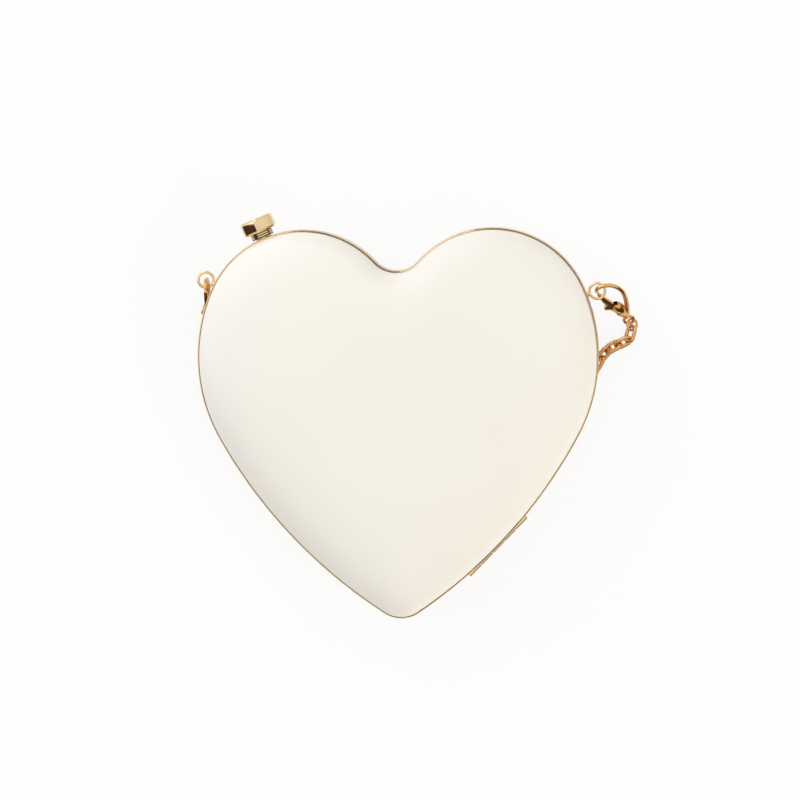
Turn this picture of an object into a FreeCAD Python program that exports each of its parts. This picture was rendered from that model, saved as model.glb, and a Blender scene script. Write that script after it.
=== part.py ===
import FreeCAD, Part
import math
import os
import re
import Sketcher

# A hard-shell heart box purse lying on its back. Lengths are millimetres, angles degrees.
# The origin is the middle of the flat patch of the back dome, +Z is out of the front face,
# +Y runs from the tip to the lobes.

SIZES = {
    # heart outline of five tangent arcs for each half
    "heart_width": 160,
    "heart_height": 155.8,
    "case_depth": 40,
    "lobe_radius_share": 0.249,
    "lobe_spread_share": 0.473,
    "cleft_radius_share": 0.071,
    "side_radius_share": 0.4206,
    "flank_radius_share": 1.2485,
    "tip_radius_share": 0.078,
    "crown_drop_share": 0.16,
    # domed halves
    "crown_scale_share": 0.26,
    "cleft_fill_share": 0.4,
    "cover_thickness": 0.9,
    "shell_wall": 1.6,
    "lining_thickness": 1.0,
    # metal frames
    "frame_wall": 1.2,
    "frame_height": 4.5,
    "flange_width": 5.0,
    "flange_thickness": 1.0,
    "parting_gap": 0.4,
    "lip_round": 0.45,
    "seat_clearance": 0.15,
    "cut_overrun": 1.0,
    # hinge on the right flank
    "hinge_place_share": 0.572,
    "hinge_length": 33,
    "hinge_sink": 0.3,
    "barrel_radius": 1.1,
    "pin_radius": 0.5,
    "pin_clearance": 0.04,
    "knuckle_gap": 0.3,
    "groove_clearance": 0.25,
    "foot_width": 1.0,
    "foot_set_in": 1.1,
    # push knob on the left lobe
    "clasp_turn": 112.5,
    "knob_flats": 12.7,
    "knob_height": 6.0,
    "knob_chamfer": 0.7,
    "neck_height": 3.3,
    "collar_radius": 4.6,
    "collar_overlap": 0.5,
    "collar_lift": 0.35,
    "collar_groove_width": 0.45,
    "collar_groove_depth": 0.35,
    "collar_groove_pitch": 0.9,
    "saddle_width": 6.0,
    "spigot_radius": 0.8,
    "recess_clearance": 0.3,
    "recess_depth": 4.4,
    "stem_radius": 1.0,
    "stem_clearance": 0.05,
    "stem_room": 0.2,
    "spring_wire_radius": 0.2,
    "spring_radius": 2.4,
    "spring_clearance": 0.15,
    # latch inside the case
    "washer_radius": 1.9,
    "washer_thickness": 0.8,
    "washer_gap": 0.3,
    "bolt_thickness": 1.2,
    "bolt_width": 6.0,
    "bolt_drop": 2.0,
    "nose_height": 1.2,
    "nose_reach": 0.9,
    "strike_thickness": 0.7,
    "strike_width": 8.0,
    "strike_depth": 1.0,
    "latch_clearance": 0.3,
    "rivet_radius": 0.35,
    "rivet_spread": 5.8,
    "screw_head_radius": 1.4,
    "screw_head_height": 0.7,
    "screw_radius": 0.45,
    "screw_length": 2.4,
    # eye rings on the back frame
    "eye_radius": 3.1,
    "eye_wire_radius": 0.55,
    "eye_neck_radius": 0.8,
    "eye_neck_length": 0.4,
    "eye_height": 1.1,
    "right_eye_turn": 20.4,
    "left_eye_turn": 152.7,
    # lobster clasps
    "hook_arc_radius": 9.0,
    "hook_wire_radius": 0.85,
    "hook_nose_radius": 2.4,
    "hook_join_turn": 33,
    "hook_nose_turn": 150,
    "hook_tip_turn": 238,
    "clasp_body_length": 9.4,
    "clasp_body_width": 6.8,
    "clasp_body_thickness": 4.6,
    "clasp_body_drop": 0.4,
    "tail_neck_radius": 1.0,
    "tail_neck_length": 1.6,
    "tail_eye_radius": 2.0,
    "tail_eye_wire_radius": 0.6,
    "trigger_thickness": 1.9,
    "trigger_side_gap": 0.15,
    "trigger_heel_radius": 1.6,
    "trigger_bar": 1.3,
    "trigger_gap": 0.4,
    "thumb_radius": 1.0,
    "thumb_stand": 1.1,
    "trigger_rivet_radius": 0.7,
    "trigger_rivet_clearance": 0.04,
    "trigger_rivet_stand": 0.25,
    "thumb_place_share": 0.55,
    "leaf_thickness": 0.25,
    "leaf_gap": 0.15,
    "leaf_rise_share": 1.25,
    "leaf_back_share": 0.75,
    "leaf_bend_share": 0.6,
    "leaf_reach_share": 0.42,
    "right_clasp_turn": -50,
    "right_clasp_tilt": 38,
    "right_clasp_roll": 34,
    "right_hold_turn": 0,
    "right_hold_x_share": 0.26,
    "right_hold_y_share": 0.375,
    "left_clasp_turn": -92,
    "left_clasp_tilt": 40,
    "left_clasp_roll": -90,
    "left_hold_turn": -90,
    "left_hold_x_share": 0.07,
    "left_hold_y_share": 0,
    # jump rings and chain
    "jump_radius": 2.3,
    "jump_wire_radius": 0.5,
    "right_jump_turn": 6.3,
    "right_jump_lean": 35.2,
    "left_jump_turn": -159.5,
    "left_jump_lean": 27.3,
    "link_length": 8.0,
    "link_width": 5.6,
    "link_wire": 1.6,
    "link_play": 0.3,
    "link_roll": 45,
}

# The chain's route on the surface that the case lies on, from the right clasp under the rim
# and round the tip to the left clasp.
CHAIN_ROUTE = [
    (93.15, 24.36, 2.46), (93.0, 20.2, 2.55), (91.0, 16.8, 2.4), (87.2, 15.0, 2.4), (83.5, 12.6, 2.4),
    (80.8, 8.4, 2.4), (78.4, 1.5, 2.4), (74.2, -8.0, 2.4), (66.8, -20.0, 2.4), (57.3, -32.8, 2.4),
    (46.8, -45.4, 2.4), (35.8, -57.4, 2.4), (24.2, -68.2, 2.4), (11.5, -76.6, 2.4), (-1.0, -78.6, 2.4),
    (-13.5, -75.4, 2.4), (-25.6, -66.8, 2.4), (-37.2, -55.8, 2.4), (-47.8, -43.8, 2.4), (-57.8, -31.2, 2.4),
    (-66.4, -18.6, 2.4), (-72.2, -6.2, 2.4), (-74.7, 6.0, 2.4), (-75.6, 15.6, 2.4), (-77.38, 23.39, 2.95),
]

Vector = FreeCAD.Vector
UP = Vector(0, 0, 1)
BACK = -1
FRONT = 1
LINK_CORNERS = 10
LINK_SIDES = 6
KNUCKLES = 5
DOME_TURNS = (0, 20, 40, 58, 74, 84, 90)
DOME_POWER = 2.3
COLLAR_GROOVES = 3
SPRING_TURNS = 3

doc = FreeCAD.newDocument("heart_purse")
sheet = doc.addObject("Spreadsheet::Sheet", "Sizes")
for row, (alias, number) in enumerate(SIZES.items(), start=1):
    sheet.set("A%d" % row, alias)
    sheet.set("B%d" % row, str(number))
    sheet.setAlias("B%d" % row, alias)
doc.recompute()

pieces = []


def cells(text):
    """Write a sum of named sizes as an expression on the sheet."""
    return re.sub(r"[a-z][a-z0-9_]*", lambda word: "Sizes." + word.group() if word.group() in SIZES
                  else word.group(), text)


def size(text):
    """The value of a sum of named sizes."""
    return float(sheet.evalExpression(cells(text)))


def bind(thing, **sums):
    """Bind properties of an object to sums of named sizes."""
    for name, text in sums.items():
        thing.setExpression(name.replace("__", "."), cells(text))
    return thing


def keep(thing, name, place=None):
    """Name a finished sub-part, put it in its place and list it for export."""
    thing.Label = name
    if place:
        thing.Placement = place
    pieces.append((name, thing))
    return thing


def primitive(kind, name, place=None, **sums):
    """A Part primitive bound to named sizes."""
    thing = bind(doc.addObject("Part::" + kind, name), **sums)
    if place:
        thing.Placement = place
    return thing


def cut(name, base, *tools):
    """Base less all the tools."""
    tool = tools[0]
    if len(tools) > 1:
        tool = doc.addObject("Part::MultiFuse", name + "_tools")
        tool.Shapes = list(tools)
    result = doc.addObject("Part::Cut", name)
    result.Base = base
    result.Tool = tool
    return result


def fuse(name, *things):
    """One solid from several that overlap."""
    result = doc.addObject("Part::MultiFuse", name)
    result.Shapes = list(things)
    result.Refine = True
    return result


def group(name, things):
    """A set of separate like solids in one object."""
    result = doc.addObject("Part::Compound", name)
    result.Links = list(things)
    return result


def frame_at(origin, out, up):
    """A placement whose Z axis is out and whose Y axis is up."""
    return FreeCAD.Placement(origin, FreeCAD.Rotation(up.cross(out), up, out, "ZYX"))


def new_sketch(body, name, role, height="0"):
    """A sketch on one of its body's origin planes, lifted by a sum of sizes."""
    sketch = body.newObject("Sketcher::SketchObject", name)
    plane = [item for item in body.Origin.OriginFeatures if item.Role == role][0]
    sketch.AttachmentSupport = (plane, [""])
    sketch.MapMode = "FlatFace"
    bind(sketch, AttachmentOffset__Base__z=height)
    return sketch


def outline_sketch(body, name, role, points, height="0"):
    """A closed outline of straight lines whose corners are sums of named sizes."""
    sketch = new_sketch(body, name, role, height)
    spots = [Vector(size(x), size(y), 0) for x, y in points]
    count = len(spots)
    for i in range(count):
        sketch.addGeometry(Part.LineSegment(spots[i], spots[(i + 1) % count]), False)
    for i in range(count):
        sketch.addConstraint(Sketcher.Constraint("Coincident", i, 2, (i + 1) % count, 1))
    for i, (x, y) in enumerate(points):
        for kind, text, value in (("DistanceX", x, spots[i].x), ("DistanceY", y, spots[i].y)):
            number = sketch.addConstraint(Sketcher.Constraint(kind, -1, 1, i, 1, value))
            sketch.setExpression("Constraints[%d]" % number, cells(text))
    return sketch


def circle_sketch(body, name, role, radius, x="0", y="0", height="0"):
    """A circle of named radius and centre."""
    sketch = new_sketch(body, name, role, height)
    sketch.addGeometry(Part.Circle(Vector(size(x), size(y), 0), UP, size(radius)), False)
    for kind, text in (("DistanceX", x), ("DistanceY", y)):
        number = sketch.addConstraint(Sketcher.Constraint(kind, -1, 1, 0, 3, size(text)))
        sketch.setExpression("Constraints[%d]" % number, cells(text))
    number = sketch.addConstraint(Sketcher.Constraint("Radius", 0, size(radius)))
    sketch.setExpression("Constraints[%d]" % number, cells(radius))
    return sketch


def pad(body, sketch, length, reverse=False, middle=False):
    """Pad a sketch by a sum of sizes."""
    feature = body.newObject("PartDesign::Pad", sketch.Name + "_pad")
    feature.Profile = sketch
    feature.Reversed = reverse
    feature.Midplane = middle
    bind(feature, Length=length)
    return feature


def pocket(body, sketch, length, reverse=False, middle=False):
    """Cut a sketch into the body by a sum of sizes."""
    feature = body.newObject("PartDesign::Pocket", sketch.Name + "_pocket")
    feature.Profile = sketch
    feature.Reversed = reverse
    feature.Midplane = middle
    bind(feature, Length=length)
    return feature


# Heart outline
LOBE_RADIUS = "heart_width * lobe_radius_share"
SIDE_RADIUS = "heart_width * side_radius_share"
FLANK_RADIUS = "heart_width * flank_radius_share"
TIP_RADIUS = "heart_width * tip_radius_share"
CLEFT_RADIUS = "heart_width * cleft_radius_share"
LOBE_X = "heart_width * lobe_spread_share / 2"
LOBE_Y = "heart_height * crown_drop_share"
SIDE_X = "heart_width * (1 / 2 - side_radius_share)"
TIP_Y = "(%s + %s + %s - heart_height)" % (LOBE_Y, LOBE_RADIUS, TIP_RADIUS)


def heart_circles(scale="1", inset="0", cleft_fill="0"):
    """Centres and radii of the right half's tangent circles, from the cleft to the tip."""
    cleft = size("(%s) * (%s) + (%s) + (%s)" % (CLEFT_RADIUS, scale, cleft_fill, inset))
    lobe, side, flank, tip = [size("(%s) * (%s) - (%s)" % (radius, scale, inset))
                              for radius in (LOBE_RADIUS, SIDE_RADIUS, FLANK_RADIUS, TIP_RADIUS)]
    lobe_x, lobe_y, side_x, tip_y = [size("(%s) * (%s)" % (place, scale))
                                     for place in (LOBE_X, LOBE_Y, SIDE_X, TIP_Y)]
    lobe_centre = Vector(lobe_x, lobe_y, 0)
    cleft_centre = Vector(0, lobe_y + math.sqrt((lobe + cleft) ** 2 - lobe_x ** 2), 0)
    side_centre = Vector(side_x, lobe_y - math.sqrt((side - lobe) ** 2 - (lobe_x - side_x) ** 2), 0)
    tip_centre = Vector(0, tip_y, 0)
    span = tip_centre - side_centre
    from_side = flank - side
    from_tip = flank - tip
    along = (span.Length ** 2 + from_side ** 2 - from_tip ** 2) / (2 * span.Length)
    across = math.sqrt(from_side ** 2 - along ** 2)
    direction = Vector(span).normalize()
    flank_centre = side_centre + direction * along + Vector(direction.y, -direction.x, 0) * across
    return {"cleft": (cleft_centre, cleft), "lobe": (lobe_centre, lobe), "side": (side_centre, side),
            "flank": (flank_centre, flank), "tip": (tip_centre, tip)}


def turn_of(vector):
    """The direction of a vector in the XY plane, in radians."""
    return math.atan2(vector.y, vector.x)


def heart_sketch(body, name, height, scale="1", inset="0", cleft_fill="0"):
    """A closed heart of eight tangent arcs with its radii and centres bound to the sheet."""
    sketch = new_sketch(body, name, "XY_Plane", height)
    circles = heart_circles(scale, inset, cleft_fill)
    cleft, lobe, side, flank, tip = [circles[key][0] for key in ("cleft", "lobe", "side", "flank", "tip")]
    cleft_turn = turn_of(lobe - cleft)
    lobe_turn = turn_of(cleft - lobe)
    side_turn = turn_of(lobe - side)
    flank_turn = turn_of(side - flank)
    tip_turn = turn_of(tip - flank)

    def arc(key, start, end, mirrored=False):
        centre, radius = circles[key]
        if mirrored:
            centre = Vector(-centre.x, centre.y, 0)
            start, end = math.pi - end, math.pi - start
        sketch.addGeometry(Part.ArcOfCircle(Part.Circle(centre, UP, radius), start, end), False)

    arc("cleft", -math.pi - cleft_turn, cleft_turn)
    arc("lobe", side_turn, lobe_turn)
    arc("side", flank_turn, side_turn)
    arc("flank", tip_turn, flank_turn)
    arc("tip", -math.pi - tip_turn, tip_turn)
    arc("flank", tip_turn, flank_turn, True)
    arc("side", flank_turn, side_turn, True)
    arc("lobe", side_turn, lobe_turn, True)
    joins = ((0, 2, 1, 2), (1, 1, 2, 2), (2, 1, 3, 2), (3, 1, 4, 2),
             (4, 1, 5, 2), (5, 1, 6, 2), (6, 1, 7, 2), (7, 1, 0, 1))
    for first, first_end, second, second_end in joins:
        sketch.addConstraint(Sketcher.Constraint("Tangent", first, first_end, second, second_end))
    sketch.addConstraint(Sketcher.Constraint("PointOnObject", 0, 3, -2))
    sketch.addConstraint(Sketcher.Constraint("PointOnObject", 4, 3, -2))
    sketch.addConstraint(Sketcher.Constraint("Symmetric", 1, 3, 7, 3, -2))
    sketch.addConstraint(Sketcher.Constraint("Symmetric", 2, 3, 6, 3, -2))
    sketch.addConstraint(Sketcher.Constraint("Equal", 3, 5))

    def measure(constraint, text):
        number = sketch.addConstraint(constraint)
        sketch.setExpression("Constraints[%d]" % number, cells(text))

    for index, key, radius in ((1, "lobe", LOBE_RADIUS), (2, "side", SIDE_RADIUS),
                               (3, "flank", FLANK_RADIUS), (4, "tip", TIP_RADIUS)):
        measure(Sketcher.Constraint("Radius", index, circles[key][1]),
                "(%s) * (%s) - (%s)" % (radius, scale, inset))
    measure(Sketcher.Constraint("Radius", 0, circles["cleft"][1]),
            "(%s) * (%s) + (%s) + (%s)" % (CLEFT_RADIUS, scale, cleft_fill, inset))
    measure(Sketcher.Constraint("DistanceX", -1, 1, 1, 3, lobe.x), "(%s) * (%s)" % (LOBE_X, scale))
    measure(Sketcher.Constraint("DistanceY", -1, 1, 1, 3, lobe.y), "(%s) * (%s)" % (LOBE_Y, scale))
    measure(Sketcher.Constraint("DistanceX", -1, 1, 2, 3, side.x), "(%s) * (%s)" % (SIDE_X, scale))
    measure(Sketcher.Constraint("DistanceY", -1, 1, 4, 3, tip.y), "(%s) * (%s)" % (TIP_Y, scale))
    return sketch


# Heights are counted from the parting plane, up for the front half and down for the back half.
FACE = "parting_gap / 2"
SEAT = "(parting_gap / 2 + flange_thickness)"
LIP = "(parting_gap / 2 + frame_height)"
PARTING = "case_depth / 2"


def level(side, height):
    """The row's Z of a height above or below the parting plane."""
    return "%s %s (%s)" % (PARTING, "+" if side == FRONT else "-", height)


def half_name(side, name):
    return ("front_" if side == FRONT else "back_") + name


# Domed halves: four nested domes make the cover, the shell and the lining of each half.
BASE_INSET = "(frame_wall + seat_clearance)"
LAYERS = {
    "cover": "0",
    "shell": "cover_thickness",
    "lining": "(cover_thickness + shell_wall)",
    "hollow": "(cover_thickness + shell_wall + lining_thickness)",
}


def dome_body(side, layer):
    """A solid dome that stands straight inside its frame and then closes over to a flat crown."""
    wall = LAYERS[layer]
    name = half_name(side, layer + "_dome")
    body = doc.addObject("PartDesign::Body", name)
    seat_inset = "%s + %s" % (BASE_INSET, wall)
    seat = heart_sketch(body, name + "_seat", level(side, SEAT), inset=seat_inset)
    pad(body, seat, "%s - %s" % (LIP, SEAT), reverse=(side == BACK))
    run = size("heart_width / 2 * (1 - crown_scale_share)")
    rise = size("%s - %s" % (PARTING, LIP))
    sections = []
    for number, turn in enumerate(DOME_TURNS):
        cosine = max(math.cos(math.radians(turn)), 0)
        sine = math.sin(math.radians(turn))
        along_share = 1 - cosine ** (2 / DOME_POWER)
        rise_share = sine ** (2 / DOME_POWER)
        lean = Vector(rise * cosine ** (2 - 2 / DOME_POWER), run * sine ** (2 - 2 / DOME_POWER), 0).normalize()
        scale = "(1 - (1 - crown_scale_share) * %.5f)" % along_share
        inset = "%s * %.5f + %s * %.5f" % (BASE_INSET, cosine, wall, lean.x)
        height = "%s + (%s - %s) * %.5f - %s * %.5f" % (LIP, PARTING, LIP, rise_share, wall, lean.y)
        fill = "heart_width * cleft_fill_share * (1 - crown_scale_share) * %.5f" % along_share
        sections.append(heart_sketch(body, "%s_section_%d" % (name, number), level(side, height),
                                     scale, inset, fill))
    loft = body.newObject("PartDesign::AdditiveLoft", name + "_loft")
    loft.Profile = sections[0]
    loft.Sections = sections[1:]
    loft.Ruled = False
    return body


for side in (BACK, FRONT):
    domes = [dome_body(side, layer) for layer in LAYERS]
    for layer, outer, inner in zip(LAYERS, domes, domes[1:]):
        keep(cut(half_name(side, layer), outer, inner), half_name(side, layer))
doc.recompute()


# Hinge place on the right flank
outline = heart_circles()
flank_centre, flank_radius = outline["flank"]
flank_top = turn_of(outline["side"][0] - flank_centre)
flank_end = turn_of(outline["tip"][0] - flank_centre)
hinge_turn = flank_top + (flank_end - flank_top) * size("hinge_place_share")
hinge_out = Vector(math.cos(hinge_turn), math.sin(hinge_turn), 0)
hinge_middle = flank_centre + hinge_out * (flank_radius - size("hinge_sink")) + UP * size(PARTING)
hinge_along = hinge_out.cross(UP)
hinge_rotation = FreeCAD.Rotation(hinge_out, UP, hinge_along, "ZYX")
GROOVE_RADIUS = "(barrel_radius + groove_clearance)"


def hinge_place(shift):
    """A placement on the hinge line with its Z axis along the line and its X axis outwards."""
    return FreeCAD.Placement(hinge_middle + hinge_along * size(shift), hinge_rotation)


def hinge_cylinder(name, radius, start, length):
    return primitive("Cylinder", name, hinge_place(start), Radius=radius, Height=length)


def knuckle(side, number):
    """One rolled barrel of the hinge with the foot that is brazed into its frame's groove."""
    name = half_name(side, "knuckle_%d" % number)
    start = "hinge_length * (%d / %d - 1 / 2) + knuckle_gap / 2" % (number, KNUCKLES)
    length = "hinge_length / %d - knuckle_gap" % KNUCKLES
    barrel = hinge_cylinder(name + "_barrel", "barrel_radius", start, length)
    seat = hinge_cylinder(name + "_seat", GROOVE_RADIUS, start, length)
    bore = hinge_cylinder(name + "_bore", "pin_radius + pin_clearance",
                          start + " - cut_overrun", length + " + 2 * cut_overrun")
    corner = Vector(-size("foot_set_in"), 0 if side == FRONT else -size(GROOVE_RADIUS), 0)
    place = hinge_place(start)
    block = primitive("Box", name + "_block", place.multiply(FreeCAD.Placement(corner, FreeCAD.Rotation())),
                      Length="foot_width", Width=GROOVE_RADIUS, Height=length)
    foot = doc.addObject("Part::Common", name + "_foot")
    foot.Base = seat
    foot.Tool = block
    return cut(name, fuse(name + "_solid", barrel, foot), bore)


for side, numbers in ((BACK, range(0, KNUCKLES, 2)), (FRONT, range(1, KNUCKLES, 2))):
    keep(group(half_name(side, "knuckles"), [knuckle(side, number) for number in numbers]),
         half_name(side, "knuckles"))
keep(hinge_cylinder("hinge_pin", "pin_radius", "-hinge_length / 2", "hinge_length"), "hinge_pin",
     hinge_place("-hinge_length / 2"))


# Places of the clasp and the eyes on the rim
def lobe_spot(turn, mirrored):
    """A point of a lobe's rim and the direction out of it."""
    centre, radius = outline["lobe"]
    centre = Vector(-centre.x if mirrored else centre.x, centre.y, 0)
    out = Vector(math.cos(math.radians(turn)), math.sin(math.radians(turn)), 0)
    return centre + out * radius, out


clasp_rim, clasp_out = lobe_spot(size("clasp_turn"), True)
clasp_frame = frame_at(clasp_rim + UP * size(PARTING), clasp_out, UP)
left_eye_rim, left_eye_out = lobe_spot(size("left_eye_turn"), True)
right_turn = math.radians(size("right_eye_turn"))
right_eye_out = Vector(math.cos(right_turn), math.sin(right_turn), 0)
right_eye_rim = outline["side"][0] + right_eye_out * outline["side"][1]
EYE_LEVEL = "case_depth / 2 - %s + eye_height" % LIP
eye_frames = {
    "right": frame_at(right_eye_rim + UP * size(EYE_LEVEL), right_eye_out, UP),
    "left": frame_at(left_eye_rim + UP * size(EYE_LEVEL), left_eye_out, UP),
}


def on_clasp(x="0", y="0", z="0"):
    """A placement in the clasp's frame: Z out of the rim, Y towards the front, X along the rim."""
    return clasp_frame.multiply(FreeCAD.Placement(Vector(size(x), size(y), size(z)), FreeCAD.Rotation()))


def clasp_cylinder(name, radius, start, length, x="0", y="0"):
    return primitive("Cylinder", name, on_clasp(x, y, start), Radius=radius, Height=length)


def clasp_box(name, x, y, z, width, height, depth):
    """A box in the clasp's frame from its lowest corner."""
    return primitive("Box", name, on_clasp(x, y, z), Length=width, Width=height, Height=depth)


# Frames: a channel with an outer wall, an inward flange at the parting plane and a rounded lip.
FLANGE_EDGE = "(frame_wall + flange_width)"


def frame_body(side):
    """One half's frame as a padded heart with its channel and its window cut out."""
    name = half_name(side, "frame_ring")
    body = doc.addObject("PartDesign::Body", name)
    away = side == BACK
    pad(body, heart_sketch(body, name + "_outline", level(side, FACE)), "frame_height", reverse=away)
    channel = heart_sketch(body, name + "_channel", level(side, LIP), inset="frame_wall")
    pocket(body, channel, "frame_height - flange_thickness", reverse=away)
    window = heart_sketch(body, name + "_window", level(side, LIP), inset=FLANGE_EDGE)
    last = pocket(body, window, "frame_height + cut_overrun", reverse=away)
    doc.recompute()
    lip = size(level(side, LIP))
    rings = [face for face in last.Shape.Faces
             if abs(face.BoundBox.ZMin - lip) < 1e-4 and abs(face.BoundBox.ZMax - lip) < 1e-4]
    rim = max((wire for face in rings for wire in face.Wires), key=lambda wire: wire.Length)
    edges = ["Edge%d" % (number + 1) for number, edge in enumerate(last.Shape.Edges)
             if any(edge.isSame(other) for other in rim.Edges)]
    rounded = body.newObject("PartDesign::Fillet", name + "_lip")
    rounded.Base = (last, edges)
    bind(rounded, Radius="lip_round")
    return body


groove = hinge_cylinder("hinge_groove", GROOVE_RADIUS, "-hinge_length / 2 - groove_clearance",
                        "hinge_length + 2 * groove_clearance")
stem_notch = clasp_cylinder("stem_notch", "stem_radius + stem_room", "-%s - cut_overrun" % FLANGE_EDGE,
                            "%s + 2 * cut_overrun" % FLANGE_EDGE)
SPIGOT_Y = "-(%s + frame_height / 2)" % FACE
spigot_hole = clasp_cylinder("spigot_hole", "spigot_radius", "-frame_wall - cut_overrun",
                             "frame_wall + 2 * cut_overrun", y=SPIGOT_Y)
eye_holes = [primitive("Cylinder", name + "_eye_hole",
                       place.multiply(FreeCAD.Placement(UP * -size("frame_wall + cut_overrun"), FreeCAD.Rotation())),
                       Radius="eye_neck_radius", Height="frame_wall + 2 * cut_overrun")
             for name, place in eye_frames.items()]
rivet_holes = []
for number, sign in enumerate(("-", "")):
    place = on_clasp(sign + "rivet_spread / 2", FACE, "-%s + strike_depth / 2" % FLANGE_EDGE)
    upright = FreeCAD.Placement(Vector(), FreeCAD.Rotation(Vector(1, 0, 0), -90))
    rivet_holes.append((number, place.multiply(upright)))


def rivet_cylinder(name, place, radius, length):
    return primitive("Cylinder", name, place, Radius=radius, Height=length)


keep(cut("back_frame", frame_body(BACK), groove, stem_notch, spigot_hole, *eye_holes), "back_frame")
front_rivet_holes = [rivet_cylinder("frame_rivet_hole_%d" % number, place, "rivet_radius", "flange_thickness")
                     for number, place in rivet_holes]
keep(cut("front_frame", frame_body(FRONT), groove, stem_notch, *front_rivet_holes), "front_frame")


# Push knob: a grooved collar fixed to the back frame, a hexagonal head that slides over it on a stem.
COLLAR_TOP = "(neck_height + collar_overlap)"


def collar_body():
    """The turned collar with three ring grooves in its neck."""
    body = doc.addObject("PartDesign::Body", "collar_turning")
    bore = "stem_radius + stem_clearance"
    floor = "collar_radius - collar_groove_depth"
    points = [(bore, "collar_lift"), ("collar_radius", "collar_lift")]
    for number in range(COLLAR_GROOVES):
        low = "neck_height - collar_groove_pitch * %d" % (COLLAR_GROOVES - number)
        high = low + " + collar_groove_width"
        points += [("collar_radius", low), (floor, low), (floor, high), ("collar_radius", high)]
    points += [("collar_radius", COLLAR_TOP), (bore, COLLAR_TOP)]
    profile = outline_sketch(body, "collar_profile", "XZ_Plane", points)
    turning = body.newObject("PartDesign::Revolution", "collar_revolution")
    turning.Profile = profile
    turning.ReferenceAxis = (profile, ["V_Axis"])
    turning.Angle = 360
    body.Placement = clasp_frame
    return body


saddle_block = clasp_box("saddle_block", "-saddle_width / 2", "-%s" % LIP, "-frame_wall", "saddle_width",
                         "frame_height", "frame_wall + collar_lift + collar_groove_width")
lobe_round = primitive("Cylinder", "lobe_round",
                       FreeCAD.Placement(Vector(-outline["lobe"][0].x, outline["lobe"][0].y, 0), FreeCAD.Rotation()),
                       Radius=LOBE_RADIUS, Height="case_depth")
saddle = cut("collar_saddle", saddle_block, lobe_round)
spigot = clasp_cylinder("collar_spigot", "spigot_radius", "-frame_wall", "frame_wall + collar_lift + stem_room",
                        y=SPIGOT_Y)
stem_bore = clasp_cylinder("collar_stem_bore", "stem_radius + stem_clearance", "-frame_wall",
                           "frame_wall + %s + cut_overrun" % COLLAR_TOP)
keep(cut("clasp_collar", fuse("collar_solid", collar_body(), saddle, spigot), stem_bore), "clasp_collar")

STEM_END = "(%s + washer_gap + washer_thickness)" % FLANGE_EDGE
CEILING = "(neck_height + recess_depth)"


def knob_body():
    """The hexagonal head, hollow underneath, with its stem and the screw hole in the stem's end."""
    body = doc.addObject("PartDesign::Body", "clasp_knob")
    corner = "knob_flats / sqrt(3)"
    half = "knob_flats / 2"
    hexagon = [("0", corner), ("-" + half, corner + " / 2"), ("-" + half, "-" + corner + " / 2"),
               ("0", "-" + corner), (half, "-" + corner + " / 2"), (half, corner + " / 2")]
    head = pad(body, outline_sketch(body, "knob_hexagon", "XY_Plane", hexagon, "neck_height"), "knob_height")
    doc.recompute()
    edges = ["Edge%d" % (number + 1) for number, edge in enumerate(head.Shape.Edges)
             if edge.BoundBox.ZLength < size("knob_chamfer")]
    bevel = body.newObject("PartDesign::Chamfer", "knob_bevel")
    bevel.Base = (head, edges)
    bind(bevel, Size="knob_chamfer")
    pocket(body, circle_sketch(body, "knob_recess", "XY_Plane", "collar_radius + recess_clearance",
                               height="neck_height"), "recess_depth", reverse=True)
    pad(body, circle_sketch(body, "knob_stem", "XY_Plane", "stem_radius", height="-" + STEM_END),
        "%s + %s" % (STEM_END, CEILING))
    pocket(body, circle_sketch(body, "knob_screw_hole", "XY_Plane", "screw_radius", height="-" + STEM_END),
           "screw_length", reverse=True)
    return body


keep(knob_body(), "clasp_knob", clasp_frame)


def helix_tube(radius, wire, height, turns):
    """A round wire wound as an open coil that stands on its lower end."""
    spine = Part.makeHelix(height / turns, height, radius)
    ring = Part.Wire(Part.makeCircle(wire, Vector(radius, 0, 0), Vector(0, 1, 0)))
    return Part.Wire(spine.Edges).makePipeShell([ring], True, True)


spring_rest = size("%s - %s - 2 * spring_clearance - 2 * spring_wire_radius" % (CEILING, COLLAR_TOP))
knob_spring = doc.addObject("Part::Feature", "knob_spring")
knob_spring.Shape = helix_tube(size("spring_radius"), size("spring_wire_radius"), spring_rest, SPRING_TURNS)
keep(knob_spring, "knob_spring", on_clasp(z="%s + spring_clearance + spring_wire_radius" % COLLAR_TOP))

# Latch: the stem carries a washer and a bolt whose nose reaches over the strike on the front flange.
washer = clasp_cylinder("washer_disc", "washer_radius", "-" + STEM_END, "washer_thickness")
washer_bore = clasp_cylinder("washer_bore", "stem_radius", "-%s - cut_overrun" % STEM_END,
                             "washer_thickness + 2 * cut_overrun")
keep(cut("stem_washer", washer, washer_bore), "stem_washer")

NOSE_LOW = "(%s + strike_thickness + latch_clearance)" % SEAT
bolt_plate = clasp_box("bolt_plate", "-bolt_width / 2", "-bolt_drop", "-%s - bolt_thickness" % STEM_END, "bolt_width",
                       "bolt_drop + %s + nose_height" % NOSE_LOW, "bolt_thickness")
bolt_nose = clasp_box("bolt_nose", "-bolt_width / 2", NOSE_LOW, "-" + STEM_END, "bolt_width", "nose_height",
                      "washer_gap + washer_thickness + nose_reach")
bolt_hole = clasp_cylinder("bolt_hole", "screw_radius", "-%s - bolt_thickness - cut_overrun" % STEM_END,
                           "bolt_thickness + cut_overrun")
keep(cut("latch_bolt", fuse("bolt_solid", bolt_plate, bolt_nose), bolt_hole), "latch_bolt")
screw_head = clasp_cylinder("screw_head", "screw_head_radius", "-%s - bolt_thickness - screw_head_height" % STEM_END,
                            "screw_head_height")
screw_shank = clasp_cylinder("screw_shank", "screw_radius", "-%s - bolt_thickness - screw_head_height" % STEM_END,
                             "screw_head_height + bolt_thickness + screw_length")
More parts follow.
